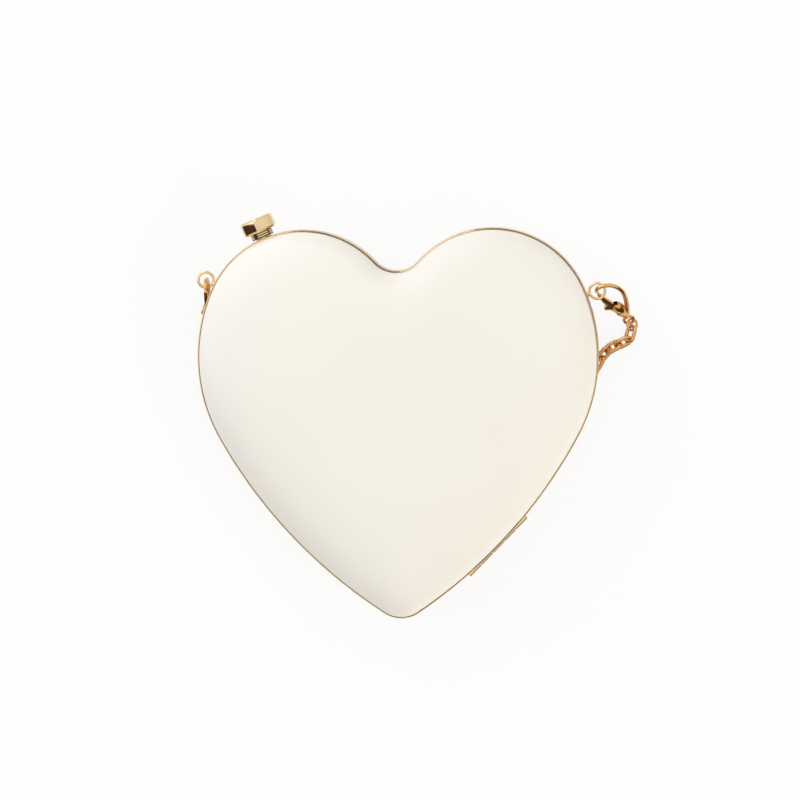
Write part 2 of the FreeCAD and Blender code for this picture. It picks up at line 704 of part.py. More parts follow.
keep(fuse("latch_screw", screw_head, screw_shank), "latch_screw")

strike_block = clasp_box("strike_block", "-strike_width / 2", SEAT, "-" + FLANGE_EDGE, "strike_width",
                         "strike_thickness", "strike_depth")
strike_holes = [rivet_cylinder("strike_rivet_hole_%d" % number, place, "rivet_radius",
                               "flange_thickness + strike_thickness + cut_overrun")
                for number, place in rivet_holes]
keep(cut("strike_plate", strike_block, *strike_holes), "strike_plate")
keep(group("strike_rivets", [rivet_cylinder("strike_rivet_%d" % number, place, "rivet_radius",
                                            "flange_thickness + strike_thickness")
                             for number, place in rivet_holes]), "strike_rivets")


# Eye rings brazed to the back frame's wall
EYE_REACH = "(eye_neck_length + eye_wire_radius + eye_radius)"
LYING = FreeCAD.Rotation(Vector(1, 0, 0), 90)


def eye(name, place):
    """A flat-lying wire ring with the neck that is riveted through the frame's wall."""
    centre = FreeCAD.Placement(Vector(0, 0, size(EYE_REACH)), LYING)
    ring = primitive("Torus", name + "_ring", place.multiply(centre), Radius1="eye_radius",
                     Radius2="eye_wire_radius")
    root = FreeCAD.Placement(Vector(0, 0, -size("frame_wall")), FreeCAD.Rotation())
    neck = primitive("Cylinder", name + "_neck", place.multiply(root), Radius="eye_neck_radius",
                     Height="frame_wall + eye_neck_length + eye_wire_radius")
    return fuse(name, ring, neck)


for name, place in eye_frames.items():
    keep(eye(name + "_eye", place), name + "_eye")


# Lobster clasps: X runs from the nose to the tail, Y towards the hook's back.
HOOK_X = "(hook_arc_radius + clasp_body_drop)"
HOOK_Y = "(-clasp_body_drop * hook_arc_radius)"
NOSE_OFFSET = "(hook_arc_radius - hook_nose_radius)"
NOSE_X = "(%s + %s * cos(hook_nose_turn * 1deg))" % (HOOK_X, NOSE_OFFSET)
NOSE_Y = "(%s + %s * sin(hook_nose_turn * 1deg))" % (HOOK_Y, NOSE_OFFSET)
TIP_SPOT_X = "(%s + hook_nose_radius * cos(hook_tip_turn * 1deg))" % NOSE_X
TIP_SPOT_Y = "(%s + hook_nose_radius * sin(hook_tip_turn * 1deg))" % NOSE_Y
BODY_X = "(%s + hook_arc_radius * cos(hook_join_turn * 1deg))" % HOOK_X
BODY_Y = "(%s + hook_arc_radius * sin(hook_join_turn * 1deg) - clasp_body_width / 4)" % HOOK_Y
TAIL_X = "(%s + clasp_body_length / 2 - tail_neck_radius)" % BODY_X
TAIL_EYE_X = "(%s + tail_neck_length + tail_eye_radius)" % TAIL_X
PIVOT_Y = "(%s - trigger_heel_radius / 4)" % BODY_Y
SLOT = "(trigger_thickness + 2 * trigger_side_gap)"


def at(x, y, z="0", turn=0):
    """A placement in a clasp's own frame."""
    return FreeCAD.Placement(Vector(size(x), size(y), size(z)), FreeCAD.Rotation(UP, turn))


def clasp_place(name):
    """Where a lobster clasp hangs: its nose holds the eye's wire and its tail lies on the surface."""
    turn, tilt, roll, hold = [size(name + part) for part in ("_clasp_turn", "_clasp_tilt", "_clasp_roll", "_hold_turn")]
    rotation = FreeCAD.Rotation(UP, turn) * FreeCAD.Rotation(Vector(0, 1, 0), tilt) \
        * FreeCAD.Rotation(Vector(1, 0, 0), roll)
    ring_centre = eye_frames[name].multVec(Vector(0, 0, size(EYE_REACH)))
    held = ring_centre + FreeCAD.Rotation(UP, hold).multVec(Vector(size("eye_radius"), 0, 0))
    seat = Vector(size("%s + %s_hold_x_share * hook_nose_radius" % (NOSE_X, name)),
                  size("%s + %s_hold_y_share * hook_nose_radius" % (NOSE_Y, name)), 0)
    return FreeCAD.Placement(held - rotation.multVec(seat), rotation)


def hook(name):
    """The cast hook: a bent wire nose, a swollen body with the trigger's slot, and a tail eye."""
    arm = primitive("Torus", name + "_arm", at(HOOK_X, HOOK_Y, turn=size("hook_join_turn")),
                    Radius1="hook_arc_radius", Radius2="hook_wire_radius", Angle3="hook_nose_turn - hook_join_turn")
    nose = primitive("Torus", name + "_nose", at(NOSE_X, NOSE_Y, turn=size("hook_nose_turn")),
                     Radius1="hook_nose_radius", Radius2="hook_wire_radius", Angle3="hook_tip_turn - hook_nose_turn")
    tip = primitive("Sphere", name + "_tip", at(TIP_SPOT_X, TIP_SPOT_Y), Radius="hook_wire_radius")
    swell = primitive("Ellipsoid", name + "_swell", at(BODY_X, BODY_Y), Radius1="clasp_body_thickness / 2",
                      Radius2="clasp_body_length / 2", Radius3="clasp_body_width / 2")
    along = at(TAIL_X, BODY_Y).multiply(FreeCAD.Placement(Vector(), FreeCAD.Rotation(Vector(0, 1, 0), 90)))
    neck = primitive("Cylinder", name + "_neck", along, Radius="tail_neck_radius", Height="tail_neck_length")
    ring = primitive("Torus", name + "_tail", at(TAIL_EYE_X, BODY_Y), Radius1="tail_eye_radius",
                     Radius2="tail_eye_wire_radius")
    solid = fuse(name + "_solid", arm, nose, tip, swell, neck, ring)
    slot = primitive("Box", name + "_slot", at(BODY_X + " - clasp_body_length", BODY_Y + " - clasp_body_width",
                                               "-%s / 2" % SLOT),
                     Length="clasp_body_length + trigger_heel_radius + trigger_gap",
                     Width="clasp_body_width + trigger_heel_radius + leaf_thickness", Height=SLOT)
    bore = primitive("Cylinder", name + "_bore", at(BODY_X, PIVOT_Y, "-clasp_body_thickness"),
                     Radius="trigger_rivet_radius", Height="2 * clasp_body_thickness")
    return cut(name, solid, slot, bore)


def on_pivot(place):
    """The placement of a piece that is drawn around the trigger's pivot."""
    return place.multiply(at(BODY_X, PIVOT_Y))


TRIGGER_LENGTH = "(%s - %s - hook_wire_radius - trigger_gap)" % (BODY_X, TIP_SPOT_X)
TRIGGER_NOSE_Y = "(%s - %s - trigger_gap / 2)" % (TIP_SPOT_Y, PIVOT_Y)
THUMB_X = "(-clasp_body_length * thumb_place_share)"


def trigger(name):
    """The lever that closes the hook, with a thumb stud and a heel that turns on the rivet."""
    body = doc.addObject("PartDesign::Body", name)
    points = [("-" + TRIGGER_LENGTH, TRIGGER_NOSE_Y + " + trigger_bar / 2"),
              ("-%s + trigger_bar / 4" % TRIGGER_LENGTH, TRIGGER_NOSE_Y + " - trigger_bar / 2"),
              (THUMB_X, TRIGGER_NOSE_Y + " - trigger_bar / 2"),
              ("0", "-trigger_heel_radius"), ("0", "trigger_heel_radius / 2")]
    pad(body, outline_sketch(body, name + "_lever", "XY_Plane", points), "trigger_thickness", middle=True)
    pad(body, circle_sketch(body, name + "_heel", "XY_Plane", "trigger_heel_radius"), "trigger_thickness", middle=True)
    pad(body, circle_sketch(body, name + "_thumb", "XY_Plane", "thumb_radius", THUMB_X,
                            TRIGGER_NOSE_Y + " - trigger_bar / 2 - thumb_stand + thumb_radius / 2"),
        "trigger_thickness", middle=True)
    pocket(body, circle_sketch(body, name + "_bore", "XY_Plane", "trigger_rivet_radius + trigger_rivet_clearance"),
           "2 * trigger_thickness", middle=True)
    return body


def leaf(name):
    """The bent strip in the slot that presses the trigger shut."""
    body = doc.addObject("PartDesign::Body", name)
    high = "(trigger_heel_radius * leaf_rise_share + leaf_thickness - leaf_gap)"
    low = "(trigger_heel_radius / 2 - leaf_gap)"
    back = "trigger_heel_radius * leaf_back_share"
    bend = "-trigger_heel_radius * leaf_bend_share"
    reach = "-clasp_body_length * leaf_reach_share"
    points = [(back, high), (bend, high), (reach, low + " + leaf_thickness"), (reach, low),
              (bend, high + " - leaf_thickness"), (back, high + " - leaf_thickness")]
    pad(body, outline_sketch(body, name + "_strip", "XY_Plane", points), "trigger_thickness", middle=True)
    return body


RIVET_LENGTH = "(clasp_body_thickness + 2 * trigger_rivet_stand)"
clasp_places = {name: clasp_place(name) for name in ("right", "left")}
for name, place in clasp_places.items():
    keep(hook(name + "_hook"), name + "_hook", place)
    keep(trigger(name + "_trigger"), name + "_trigger", on_pivot(place))
    rivet_place = place.multiply(at(BODY_X, PIVOT_Y, "-%s / 2" % RIVET_LENGTH))
    keep(primitive("Cylinder", name + "_rivet", Radius="trigger_rivet_radius", Height=RIVET_LENGTH),
         name + "_rivet", rivet_place)
    keep(leaf(name + "_leaf"), name + "_leaf", on_pivot(place))


# Chain: wire links along a smooth line through the route, each turned against the next.
def route_line():
    """A clamped quadratic spline with the route's points as its poles."""
    poles = [Vector(*point) for point in CHAIN_ROUTE]
    line = Part.BSplineCurve()
    knots = list(range(len(poles) - 1))
    line.buildFromPolesMultsKnots(poles, [3] + [1] * (len(knots) - 2) + [3], knots, False, 2)
    return line


def link_solid():
    """One oval link of round wire, drawn with few flat sides."""
    wire = size("link_wire / 2")
    bend = size("(link_width - link_wire) / 2")
    straight = size("(link_length - link_width) / 2")
    half = LINK_CORNERS // 2
    spine = []
    for number in range(LINK_CORNERS):
        end = 1 if number < half else -1
        turn = math.pi * ((number % half) / (half - 1) - 0.5) + (0 if end > 0 else math.pi)
        spine.append((Vector(end * straight + bend * math.cos(turn), bend * math.sin(turn), 0),
                      Vector(math.cos(turn), math.sin(turn), 0)))
    rings = []
    for spot, out in spine:
        ring = []
        for corner in range(LINK_SIDES):
            angle = 2 * math.pi * (corner + 0.5) / LINK_SIDES
            ring.append(spot + out * wire * math.cos(angle) + UP * wire * math.sin(angle))
        rings.append(ring)
    faces = []
    for number in range(LINK_CORNERS):
        near = rings[number]
        far = rings[(number + 1) % LINK_CORNERS]
        for corner in range(LINK_SIDES):
            following = (corner + 1) % LINK_SIDES
            for triangle in ((near[corner], far[corner], far[following]),
                             (near[corner], far[following], near[following])):
                faces.append(Part.Face(Part.makePolygon(list(triangle) + [triangle[0]])))
    return Part.Solid(Part.Shell(faces))


def chain_place(line, distance, turned):
    """The placement of a link on the chain's line, rolled one way or the other."""
    where = line.parameterAtDistance(distance)
    along = line.tangent(where)[0]
    side = UP.cross(along).normalize()
    roll = FreeCAD.Rotation(Vector(1, 0, 0), size("link_roll") * (1 if turned else -1))
    rotation = FreeCAD.Rotation(along, side, along.cross(side), "XYZ") * roll
    return FreeCAD.Placement(line.value(where), rotation)


chain_line = route_line()
chain_length = chain_line.length()
JUMP_ROOM = "jump_radius - jump_wire_radius - link_wire / 2 - link_play"
link_lead = size("(link_length - link_wire) / 2 + " + JUMP_ROOM)
link_run = chain_length - 2 * link_lead
link_count = int(link_run / size("link_length - 2 * link_wire - link_play")) + 1
link_pitch = link_run / (link_count - 1)
one_link = link_solid()
links = []
for number in range(link_count):
    link = one_link.copy()
    link.Placement = chain_place(chain_line, link_lead + number * link_pitch, number % 2 == 0)
    links.append(link)
chain = doc.addObject("Part::Feature", "chain_links")
chain.Shape = Part.makeCompound(links)
keep(chain, "chain_links")

for name, spot in (("right", CHAIN_ROUTE[0]), ("left", CHAIN_ROUTE[-1])):
    ring = primitive("Torus", name + "_jump_ring", Radius1="jump_radius", Radius2="jump_wire_radius")
    rotation = FreeCAD.Rotation(UP, size(name + "_jump_turn")) \
        * FreeCAD.Rotation(Vector(0, 1, 0), size(name + "_jump_lean"))
    keep(ring, name + "_jump_ring", FreeCAD.Placement(Vector(*spot), rotation))

# Every object must be sound before any file is written.
doc.recompute()
for thing in doc.Objects:
    if "Invalid" in thing.State or "Error" in thing.State:
        raise RuntimeError("%s did not recompute" % thing.Name)
for name, thing in pieces:
    if thing.Shape.isNull() or not thing.Shape.isValid():
        raise RuntimeError("%s has no sound shape" % name)
os.makedirs("parts", exist_ok=True)
for name, thing in pieces:
    thing.Shape.exportStep("parts/%s.step" % name)
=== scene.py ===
import math
import bmesh
import bpy
from mathutils import Matrix, Vector


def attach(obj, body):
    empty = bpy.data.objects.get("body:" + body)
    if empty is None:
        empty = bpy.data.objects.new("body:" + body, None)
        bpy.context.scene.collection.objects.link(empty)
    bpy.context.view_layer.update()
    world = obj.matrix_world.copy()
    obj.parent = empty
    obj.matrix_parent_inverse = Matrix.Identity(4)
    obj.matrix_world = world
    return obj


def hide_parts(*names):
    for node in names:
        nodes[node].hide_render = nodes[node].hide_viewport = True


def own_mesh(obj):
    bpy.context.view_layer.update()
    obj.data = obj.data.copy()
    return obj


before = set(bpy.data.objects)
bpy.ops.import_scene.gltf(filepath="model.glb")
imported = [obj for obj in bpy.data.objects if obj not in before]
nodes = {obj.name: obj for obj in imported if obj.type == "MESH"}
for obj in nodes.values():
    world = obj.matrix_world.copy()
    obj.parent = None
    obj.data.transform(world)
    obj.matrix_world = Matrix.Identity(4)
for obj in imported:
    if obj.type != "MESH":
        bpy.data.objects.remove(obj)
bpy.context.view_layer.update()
scene = bpy.context.scene
scene.view_settings.view_transform = "Standard"

# Camera: the purse lies on its back and is seen from above with a long lens that leans a little to
# the upper right. The picture is square and shows 319 mm at the level of the rim.
MM = 0.001
RIM_LEVEL = 20 * MM
PICTURE_SPAN = 319.4 * MM
CAMERA_DISTANCE = 1800 * MM
CAMERA_LEAN = math.radians(5.5)
CAMERA_LEAN_TURN = math.radians(52)
CAMERA_ROLL = math.radians(0.86)
aim = Vector((0.43, -3.7, 20)) * MM
away = Vector((math.sin(CAMERA_LEAN) * math.cos(CAMERA_LEAN_TURN),
               math.sin(CAMERA_LEAN) * math.sin(CAMERA_LEAN_TURN), math.cos(CAMERA_LEAN)))
across = Vector((math.sin(CAMERA_ROLL), math.cos(CAMERA_ROLL), 0)).cross(away).normalized()
camera = bpy.data.objects.new("camera", bpy.data.cameras.new("camera"))
camera.data.sensor_width = 36
camera.data.lens = 36 * CAMERA_DISTANCE / PICTURE_SPAN
camera.matrix_world = Matrix((across, away.cross(across), away)).transposed().to_4x4()
camera.location = aim + away * CAMERA_DISTANCE
scene.collection.objects.link(camera)
scene.camera = camera

# Studio: a plain white table under a wide soft ceiling. The ceiling stops short of the horizon and
# of the lower left, where the dark room puts dark lines and flanks on the polished metal.
CEILING_LEAN = (0.36, 0.1, 0.8)
CEILING_EDGE = (0.14, 0.52)
SKYLINE_LEAN = (0.05, 0.28, 1)
SKYLINE_EDGE = (0.3, 0.55)
SKY_LEVEL = 0.95
LAMP_AIM = Vector((0, 0, 30)) * MM
TABLE_HALF = 3
TABLE_GLOW_SEEN = 0.86
TABLE_GLOW_MIRRORED = 0.3


def linear(code):
    """An sRGB hex colour as linear red, green, blue and alpha."""
    shares = [int(code[place:place + 2], 16) / 255 for place in (1, 3, 5)]
    return [share / 12.92 if share <= 0.04045 else ((share + 0.055) / 1.055) ** 2.4 for share in shares] + [1]


def add_node(tree, kind, inputs=None, **settings):
    """Add a node with its settings, and set or link its inputs by name or number."""
    node = tree.nodes.new(kind)
    for name, value in settings.items():
        setattr(node, name, value)
    for key, value in (inputs or {}).items():
        if isinstance(value, bpy.types.NodeSocket):
            tree.links.new(value, node.inputs[key])
        else:
            node.inputs[key].default_value = value
    return node


world = bpy.data.worlds.new("studio")
scene.world = world
world.use_nodes = True
tree = world.node_tree
tree.nodes.clear()
sky_place = add_node(tree, "ShaderNodeTexCoord").outputs["Generated"]
ceiling = add_node(tree, "ShaderNodeVectorMath", {0: sky_place, 1: CEILING_LEAN}, operation="DOT_PRODUCT")
reach = add_node(tree, "ShaderNodeMapRange", {"Value": ceiling.outputs["Value"], "From Min": CEILING_EDGE[0],
                                              "From Max": CEILING_EDGE[1]}, interpolation_type="SMOOTHSTEP")
skyline = add_node(tree, "ShaderNodeVectorMath", {0: sky_place, 1: SKYLINE_LEAN}, operation="DOT_PRODUCT")
rise = add_node(tree, "ShaderNodeMapRange", {"Value": skyline.outputs["Value"], "From Min": SKYLINE_EDGE[0],
                                             "From Max": SKYLINE_EDGE[1]}, interpolation_type="SMOOTHSTEP")
open_sky = add_node(tree, "ShaderNodeMath", {0: reach.outputs[0], 1: rise.outputs[0]}, operation="MULTIPLY")
sky = add_node(tree, "ShaderNodeMix", {"Factor": open_sky.outputs[0], 6: linear("#4a3b30"), 7: linear("#fffdf8")},
               data_type="RGBA")
lit = add_node(tree, "ShaderNodeBackground", {"Color": sky.outputs[2], "Strength": SKY_LEVEL})
seen = add_node(tree, "ShaderNodeBackground", {"Color": linear("#ffffff"), "Strength": 1})
path = add_node(tree, "ShaderNodeLightPath")
mixed = add_node(tree, "ShaderNodeMixShader", {0: path.outputs["Is Camera Ray"], 1: lit.outputs[0], 2: seen.outputs[0]})
add_node(tree, "ShaderNodeOutputWorld", {"Surface": mixed.outputs[0]})


def lamp(name, place, colour, width, height, watts):
    """A soft box that faces the purse."""
    light = bpy.data.objects.new(name, bpy.data.lights.new(name, "AREA"))
    light.data.shape = "RECTANGLE"
    light.data.size = width
    light.data.size_y = height
    light.data.energy = watts
    light.data.color = linear(colour)[:3]
    light.location = place
    light.rotation_euler = (LAMP_AIM - Vector(place)).to_track_quat("-Z", "Y").to_euler()
    scene.collection.objects.link(light)
    return light


lamp("key_soft_box", (-0.86, 0.64, 0.53), "#f4f8ff", 2.2, 1.0, 12.0)
fill = lamp("fill_soft_box", (0.9, -0.85, 0.5), "#fffcf6", 0.9, 0.9, 7.8)
# Mirrored in the leather, the fill would draw a white streak along the lower right.
fill.visible_glossy = False

floor_mesh = bpy.data.meshes.new("table")
floor_corners = [(TABLE_HALF * x, TABLE_HALF * y, 0) for x, y in ((-1, -1), (1, -1), (1, 1), (-1, 1))]
floor_mesh.from_pydata(floor_corners, [], [(0, 1, 2, 3)])
table = bpy.data.objects.new("table", floor_mesh)
scene.collection.objects.link(table)


def new_material(name):
    """An empty node material, ready for its shader."""
    material = bpy.data.materials.new(name)
    material.use_nodes = True
    material.node_tree.nodes.clear()
    return material, material.node_tree


white_card, tree = new_material("white_table_card")
path = add_node(tree, "ShaderNodeLightPath")
mirrored = add_node(tree, "ShaderNodeMath", {0: path.outputs["Is Glossy Ray"], 1: path.outputs["Is Transmission Ray"]},
                    operation="MAXIMUM")
mirrored = add_node(tree, "ShaderNodeMath", {0: mirrored.outputs[0], 1: TABLE_GLOW_MIRRORED}, operation="MULTIPLY")
share = add_node(tree, "ShaderNodeMath", {0: path.outputs["Is Camera Ray"], 1: TABLE_GLOW_SEEN,
                                          2: mirrored.outputs[0]}, operation="MULTIPLY_ADD")
card = add_node(tree, "ShaderNodeBsdfDiffuse", {"Color": linear("#f6f5f2")})
glow = add_node(tree, "ShaderNodeEmission", {"Color": linear("#ffffff"), "Strength": 1})
mixed = add_node(tree, "ShaderNodeMixShader", {0: share.outputs[0], 1: card.outputs[0], 2: glow.outputs[0]})
add_node(tree, "ShaderNodeOutputMaterial", {"Surface": mixed.outputs[0]})
floor_mesh.materials.append(white_card)

# Frames: two stamped brass channels, bent to the heart, soldered at the tip and plated pale gold.
# Their flanges meet at the parting line, and only the thin sloped lips show round the covers.
HEART_LOBE = (Vector((37.84, 24.928)) * MM, 39.84 * MM)
HEART_SIDE = (Vector((12.704, 13.882)) * MM, 67.296 * MM)
HEART_FLANK = (Vector((-103.448, 77.564)) * MM, 199.76 * MM)
HEART_TIP = (Vector((0, -78.552)) * MM, 12.48 * MM)
HEART_CLEFT_RADIUS = 11.36 * MM
ARC_POINTS = (16, 56, 26, 42, 16)
LIP_WALL = 0.45 * MM
FRAME_FACE = 0.2 * MM
FRAME_LIP = FRAME_FACE + 4.5 * MM
FLANGE_EDGE = 6.2 * MM
FLANGE_TOP = FRAME_FACE + 1.0 * MM


def turn_of(vector):
    """The angle of a flat direction."""
    return math.atan2(vector.y, vector.x)


def heart_loop(height, scale=1, inset=0, cleft_fill=0):
    """Points round the heart at one height, as many on each arc whatever the scale and the inset."""
    circles = [(centre * scale, radius * scale - inset)
               for centre, radius in (HEART_LOBE, HEART_SIDE, HEART_FLANK, HEART_TIP)]
    (lobe, lobe_radius), (side, side_radius), (flank, flank_radius), (tip, tip_radius) = circles
    cleft_radius = HEART_CLEFT_RADIUS * scale + cleft_fill + inset
    cleft = Vector((0, lobe.y + math.sqrt((lobe_radius + cleft_radius) ** 2 - lobe.x ** 2)))
    down = -math.pi / 2
    arcs = ((cleft, cleft_radius, down, turn_of(lobe - cleft)),
            (lobe, lobe_radius, turn_of(cleft - lobe), turn_of(lobe - side)),
            (side, side_radius, turn_of(lobe - side), turn_of(side - flank)),
            (flank, flank_radius, turn_of(side - flank), turn_of(tip - flank)),
            (tip, tip_radius, turn_of(tip - flank), down))
    right = []
    for (centre, radius, start, end), count in zip(arcs, ARC_POINTS):
        for step in range(count):
            turn = start + (end - start) * step / count
            right.append(Vector((centre.x + radius * math.cos(turn), centre.y + radius * math.sin(turn), height)))
    lowest = Vector((0, tip.y - tip_radius, height))
    left = [Vector((-point.x, point.y, height)) for point in reversed(right[1:])]
    return right + [lowest] + left


def skin(name, rings, closed=False, first=None, last=None):
    """A mesh of quads between loops of equal count, closed on itself or capped with fans at its ends."""
    mesh = bpy.data.meshes.new(name)
    count = len(rings[0])
    points = [point for ring in rings for point in ring]
    faces = []
    for row in range(len(rings) if closed else len(rings) - 1):
        low = row * count
        high = (row + 1) % len(rings) * count
        for step in range(count):
            after = (step + 1) % count
            faces.append((low + step, low + after, high + after, high + step))
    for tip, start in ((first, 0), (last, (len(rings) - 1) * count)):
        if tip is not None:
            points.append(tip)
            faces += [(start + step, start + (step + 1) % count, len(points) - 1) for step in range(count)]
    mesh.from_pydata(points, [], faces)
    return mesh


def finished(mesh, *modifiers):
    """The mesh with modifiers applied, its doubles merged and its faces turned outwards."""
    holder = bpy.data.objects.new(mesh.name, mesh)
    scene.collection.objects.link(holder)
    for kind, settings in modifiers:
        modifier = holder.modifiers.new(kind.lower(), kind)
        for name, value in settings.items():
            setattr(modifier, name, value)
    graph = bpy.context.evaluated_depsgraph_get()
    result = bpy.data.meshes.new_from_object(holder.evaluated_get(graph), depsgraph=graph)
    bpy.data.objects.remove(holder)
    form = bmesh.new()
    form.from_mesh(result)
    bmesh.ops.remove_doubles(form, verts=form.verts, dist=1e-6)
    bmesh.ops.recalc_face_normals(form, faces=form.faces)
    form.to_mesh(result)
    form.free()
    return result


def cut_away(mesh, *tools):
    """The mesh with the shapes of other meshes cut out of it."""
    holders = []
    for tool in tools:
        holder = bpy.data.objects.new(tool.name, tool)
        scene.collection.objects.link(holder)
        holders.append(holder)
    result = finished(mesh, *[("BOOLEAN", {"operation": "DIFFERENCE", "solver": "EXACT", "object": holder})
                              for holder in holders])
    for holder in holders:
        bpy.data.objects.remove(holder)
    return result


def show(name, mesh, body, slot, material, *stands_for, sharp=38):
    """Put a finished mesh on the purse as a piece that rides on a body and stands for CAD nodes."""
    mesh.shade_smooth()
    mesh.set_sharp_from_angle(angle=math.radians(sharp))
    mesh.materials.clear()
    mesh.materials.append(material)
    thing = bpy.data.objects.new(name, mesh)
    scene.collection.objects.link(thing)
    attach(thing, body)
    if stands_for:
        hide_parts(*stands_for)
    return thing


def keep_node(name, material):
    """A CAD node that shows as it is, with its own finish."""
    nodes[name].data.materials.clear()
    nodes[name].data.materials.append(material)


def plated_metal(name, colour, worn, roughness, grain):
    """Polished plate or bare steel: a clear colour, a faint cloudy wear, and hair scratches from handling."""
    material, tree = new_material(name)
    place = add_node(tree, "ShaderNodeTexCoord").outputs["Object"]
    cloud = add_node(tree, "ShaderNodeTexNoise", {"Vector": place, "Scale": 1 / (9 * MM), "Detail": 3})
    tint = add_node(tree, "ShaderNodeMapRange", {"Value": cloud.outputs["Fac"], "From Min": 0.42, "From Max": 0.75})
    mixed = add_node(tree, "ShaderNodeMix", {"Factor": tint.outputs["Result"], 6: linear(colour), 7: linear(worn)},
                     data_type="RGBA")
    stretch = add_node(tree, "ShaderNodeMapping", {"Vector": place, "Rotation": (0.4, 0.9, 0.6), "Scale": (1, 14, 14)})
    hairs = add_node(tree, "ShaderNodeTexNoise", {"Vector": stretch.outputs[0], "Scale": 1 / (3 * MM), "Detail": 2})
    rough = add_node(tree, "ShaderNodeMapRange", {"Value": hairs.outputs["Fac"], "From Min": 0.3, "From Max": 0.7,
                                                  "To Min": roughness * 0.8, "To Max": roughness * 1.3})
    bump = add_node(tree, "ShaderNodeBump", {"Height": hairs.outputs["Fac"], "Strength": grain, "Distance": 0.02 * MM})
    metal = add_node(tree, "ShaderNodeBsdfPrincipled", {"Base Color": mixed.outputs[2], "Metallic": 1,
                                                        "Roughness": rough.outputs["Result"],
                                                        "Normal": bump.outputs[0]})
    add_node(tree, "ShaderNodeOutputMaterial", {"Surface": metal.outputs[0]})
    return material


pale_gold = plated_metal("polished_pale_gold_plate", "#f0d5aa", "#e2c392", 0.09, 0.08)


def node_tree(name, inputs):
    """A Geometry Nodes tree with named inputs, and the sockets that they arrive at."""
    tree = bpy.data.node_groups.new(name, "GeometryNodeTree")
    for label, kind in inputs.items():
        tree.interface.new_socket(name=label, in_out="INPUT", socket_type="NodeSocket" + kind)
    tree.interface.new_socket(name="Geometry", in_out="OUTPUT", socket_type="NodeSocketGeometry")
    return tree, add_node(tree, "NodeGroupInput").outputs


def close_tree(tree, geometry, plate):
    """End a tree in plain geometry with its finish."""
    plain = add_node(tree, "GeometryNodeRealizeInstances", {0: geometry})
    coated = add_node(tree, "GeometryNodeSetMaterial", {"Geometry": plain.outputs[0], "Material": plate})
    add_node(tree, "NodeGroupOutput", {0: coated.outputs[0]})


def grown(name, tree, values):
    """The plain mesh that a tree makes from its inputs."""
    holder = bpy.data.objects.new(name, bpy.data.meshes.new(name))
    scene.collection.objects.link(holder)
    modifier = holder.modifiers.new(name, "NODES")
    modifier.node_group = tree
    for socket in tree.interface.items_tree:
        if socket.in_out == "INPUT":
            modifier[socket.identifier] = values[socket.name]
    graph = bpy.context.evaluated_depsgraph_get()
    mesh = bpy.data.meshes.new_from_object(holder.evaluated_get(graph), depsgraph=graph)
    bpy.data.objects.remove(holder)
    return finished(mesh)


def drawn_line(name, points, closed):
    """A line through points, for a tree to follow or to sweep."""
    curve = bpy.data.curves.new(name, "CURVE")
    curve.dimensions = "3D"
    spline = curve.splines.new("POLY")
    spline.points.add(len(points) - 1)
    for point, place in zip(spline.points, points):
        point.co = (*place, 1)
    spline.use_cyclic_u = closed
    line = bpy.data.objects.new(name, curve)
    scene.collection.objects.link(line)
    return line


sweep_tree, given = node_tree("section_on_path", {"Path": "Object", "Section": "Object", "Plate": "Material"})
path = add_node(sweep_tree, "GeometryNodeObjectInfo", {"Object": given["Path"]})
level = add_node(sweep_tree, "GeometryNodeSetCurveNormal", {"Curve": path.outputs["Geometry"]}, mode="Z_UP")
section = add_node(sweep_tree, "GeometryNodeObjectInfo", {"Object": given["Section"]})
swept = add_node(sweep_tree, "GeometryNodeCurveToMesh", {"Curve": level.outputs[0], "Fill Caps": True,
                                                         "Profile Curve": section.outputs["Geometry"]})
close_tree(sweep_tree, swept.outputs[0], given["Plate"])


def swept_piece(name, path, closed, outline, plate):
    """A bar with one outline all along a level path: insets from the path and heights under it."""
    path_line = drawn_line(name + "_path", path, closed)
    section_line = drawn_line(name + "_section", [(inset, height, 0) for inset, height in outline], True)
    mesh = grown(name, sweep_tree, {"Path": path_line, "Section": section_line, "Plate": plate})
    bpy.data.objects.remove(path_line)
    bpy.data.objects.remove(section_line)
    return mesh


LIP_SLOPE = [(0, -0.36), (0.03, -0.31), (0.36, -0.04), (0.39, -0.01), (0.42, 0), (0.45, -0.06)]
frame_outline = [(0.1 * MM, FRAME_FACE), (0, FRAME_FACE + 0.1 * MM)]
frame_outline += [(inset * MM, FRAME_LIP + height * MM) for inset, height in LIP_SLOPE]
frame_outline += [(LIP_WALL, FLANGE_TOP), (FLANGE_EDGE - 0.1 * MM, FLANGE_TOP), (FLANGE_EDGE, FLANGE_TOP - 0.1 * MM),
                  (FLANGE_EDGE, FRAME_FACE + 0.1 * MM), (FLANGE_EDGE - 0.1 * MM, FRAME_FACE)]
HINGE_MIDDLE = Vector((38.574, -62.485, 20)) * MM
HINGE_ALONG = Vector((0.70214, 0.71203, 0))
HINGE_LENGTH = 33 * MM
HINGE_GROOVE_RADIUS = 1.35
STEM_NOTCH_RADIUS = 1.2
KNOB_RIM = Vector((-53.086, 61.735, 20)) * MM
KNOB_OUT = Vector((-0.38268, 0.92388, 0))


def turned(name, outline, start, along, sides=64, closed=False):
    """A shape turned on a lathe from radii and distances along an axis, in millimetres."""
    side = along.orthogonal().normalized()
    other = along.cross(side)
    rings = []
    for radius, distance in outline:
        middle = start + along * distance * MM
        rings.append([middle + (side * math.cos(turn) + other * math.sin(turn)) * radius * MM
                      for turn in [2 * math.pi * step / sides for step in range(sides)]])
    if closed:
        return finished(skin(name, rings, closed=True))
    first_end = start + along * outline[0][1] * MM
    last_end = start + along * outline[-1][1] * MM
    return finished(skin(name, rings, first=first_end, last=last_end))


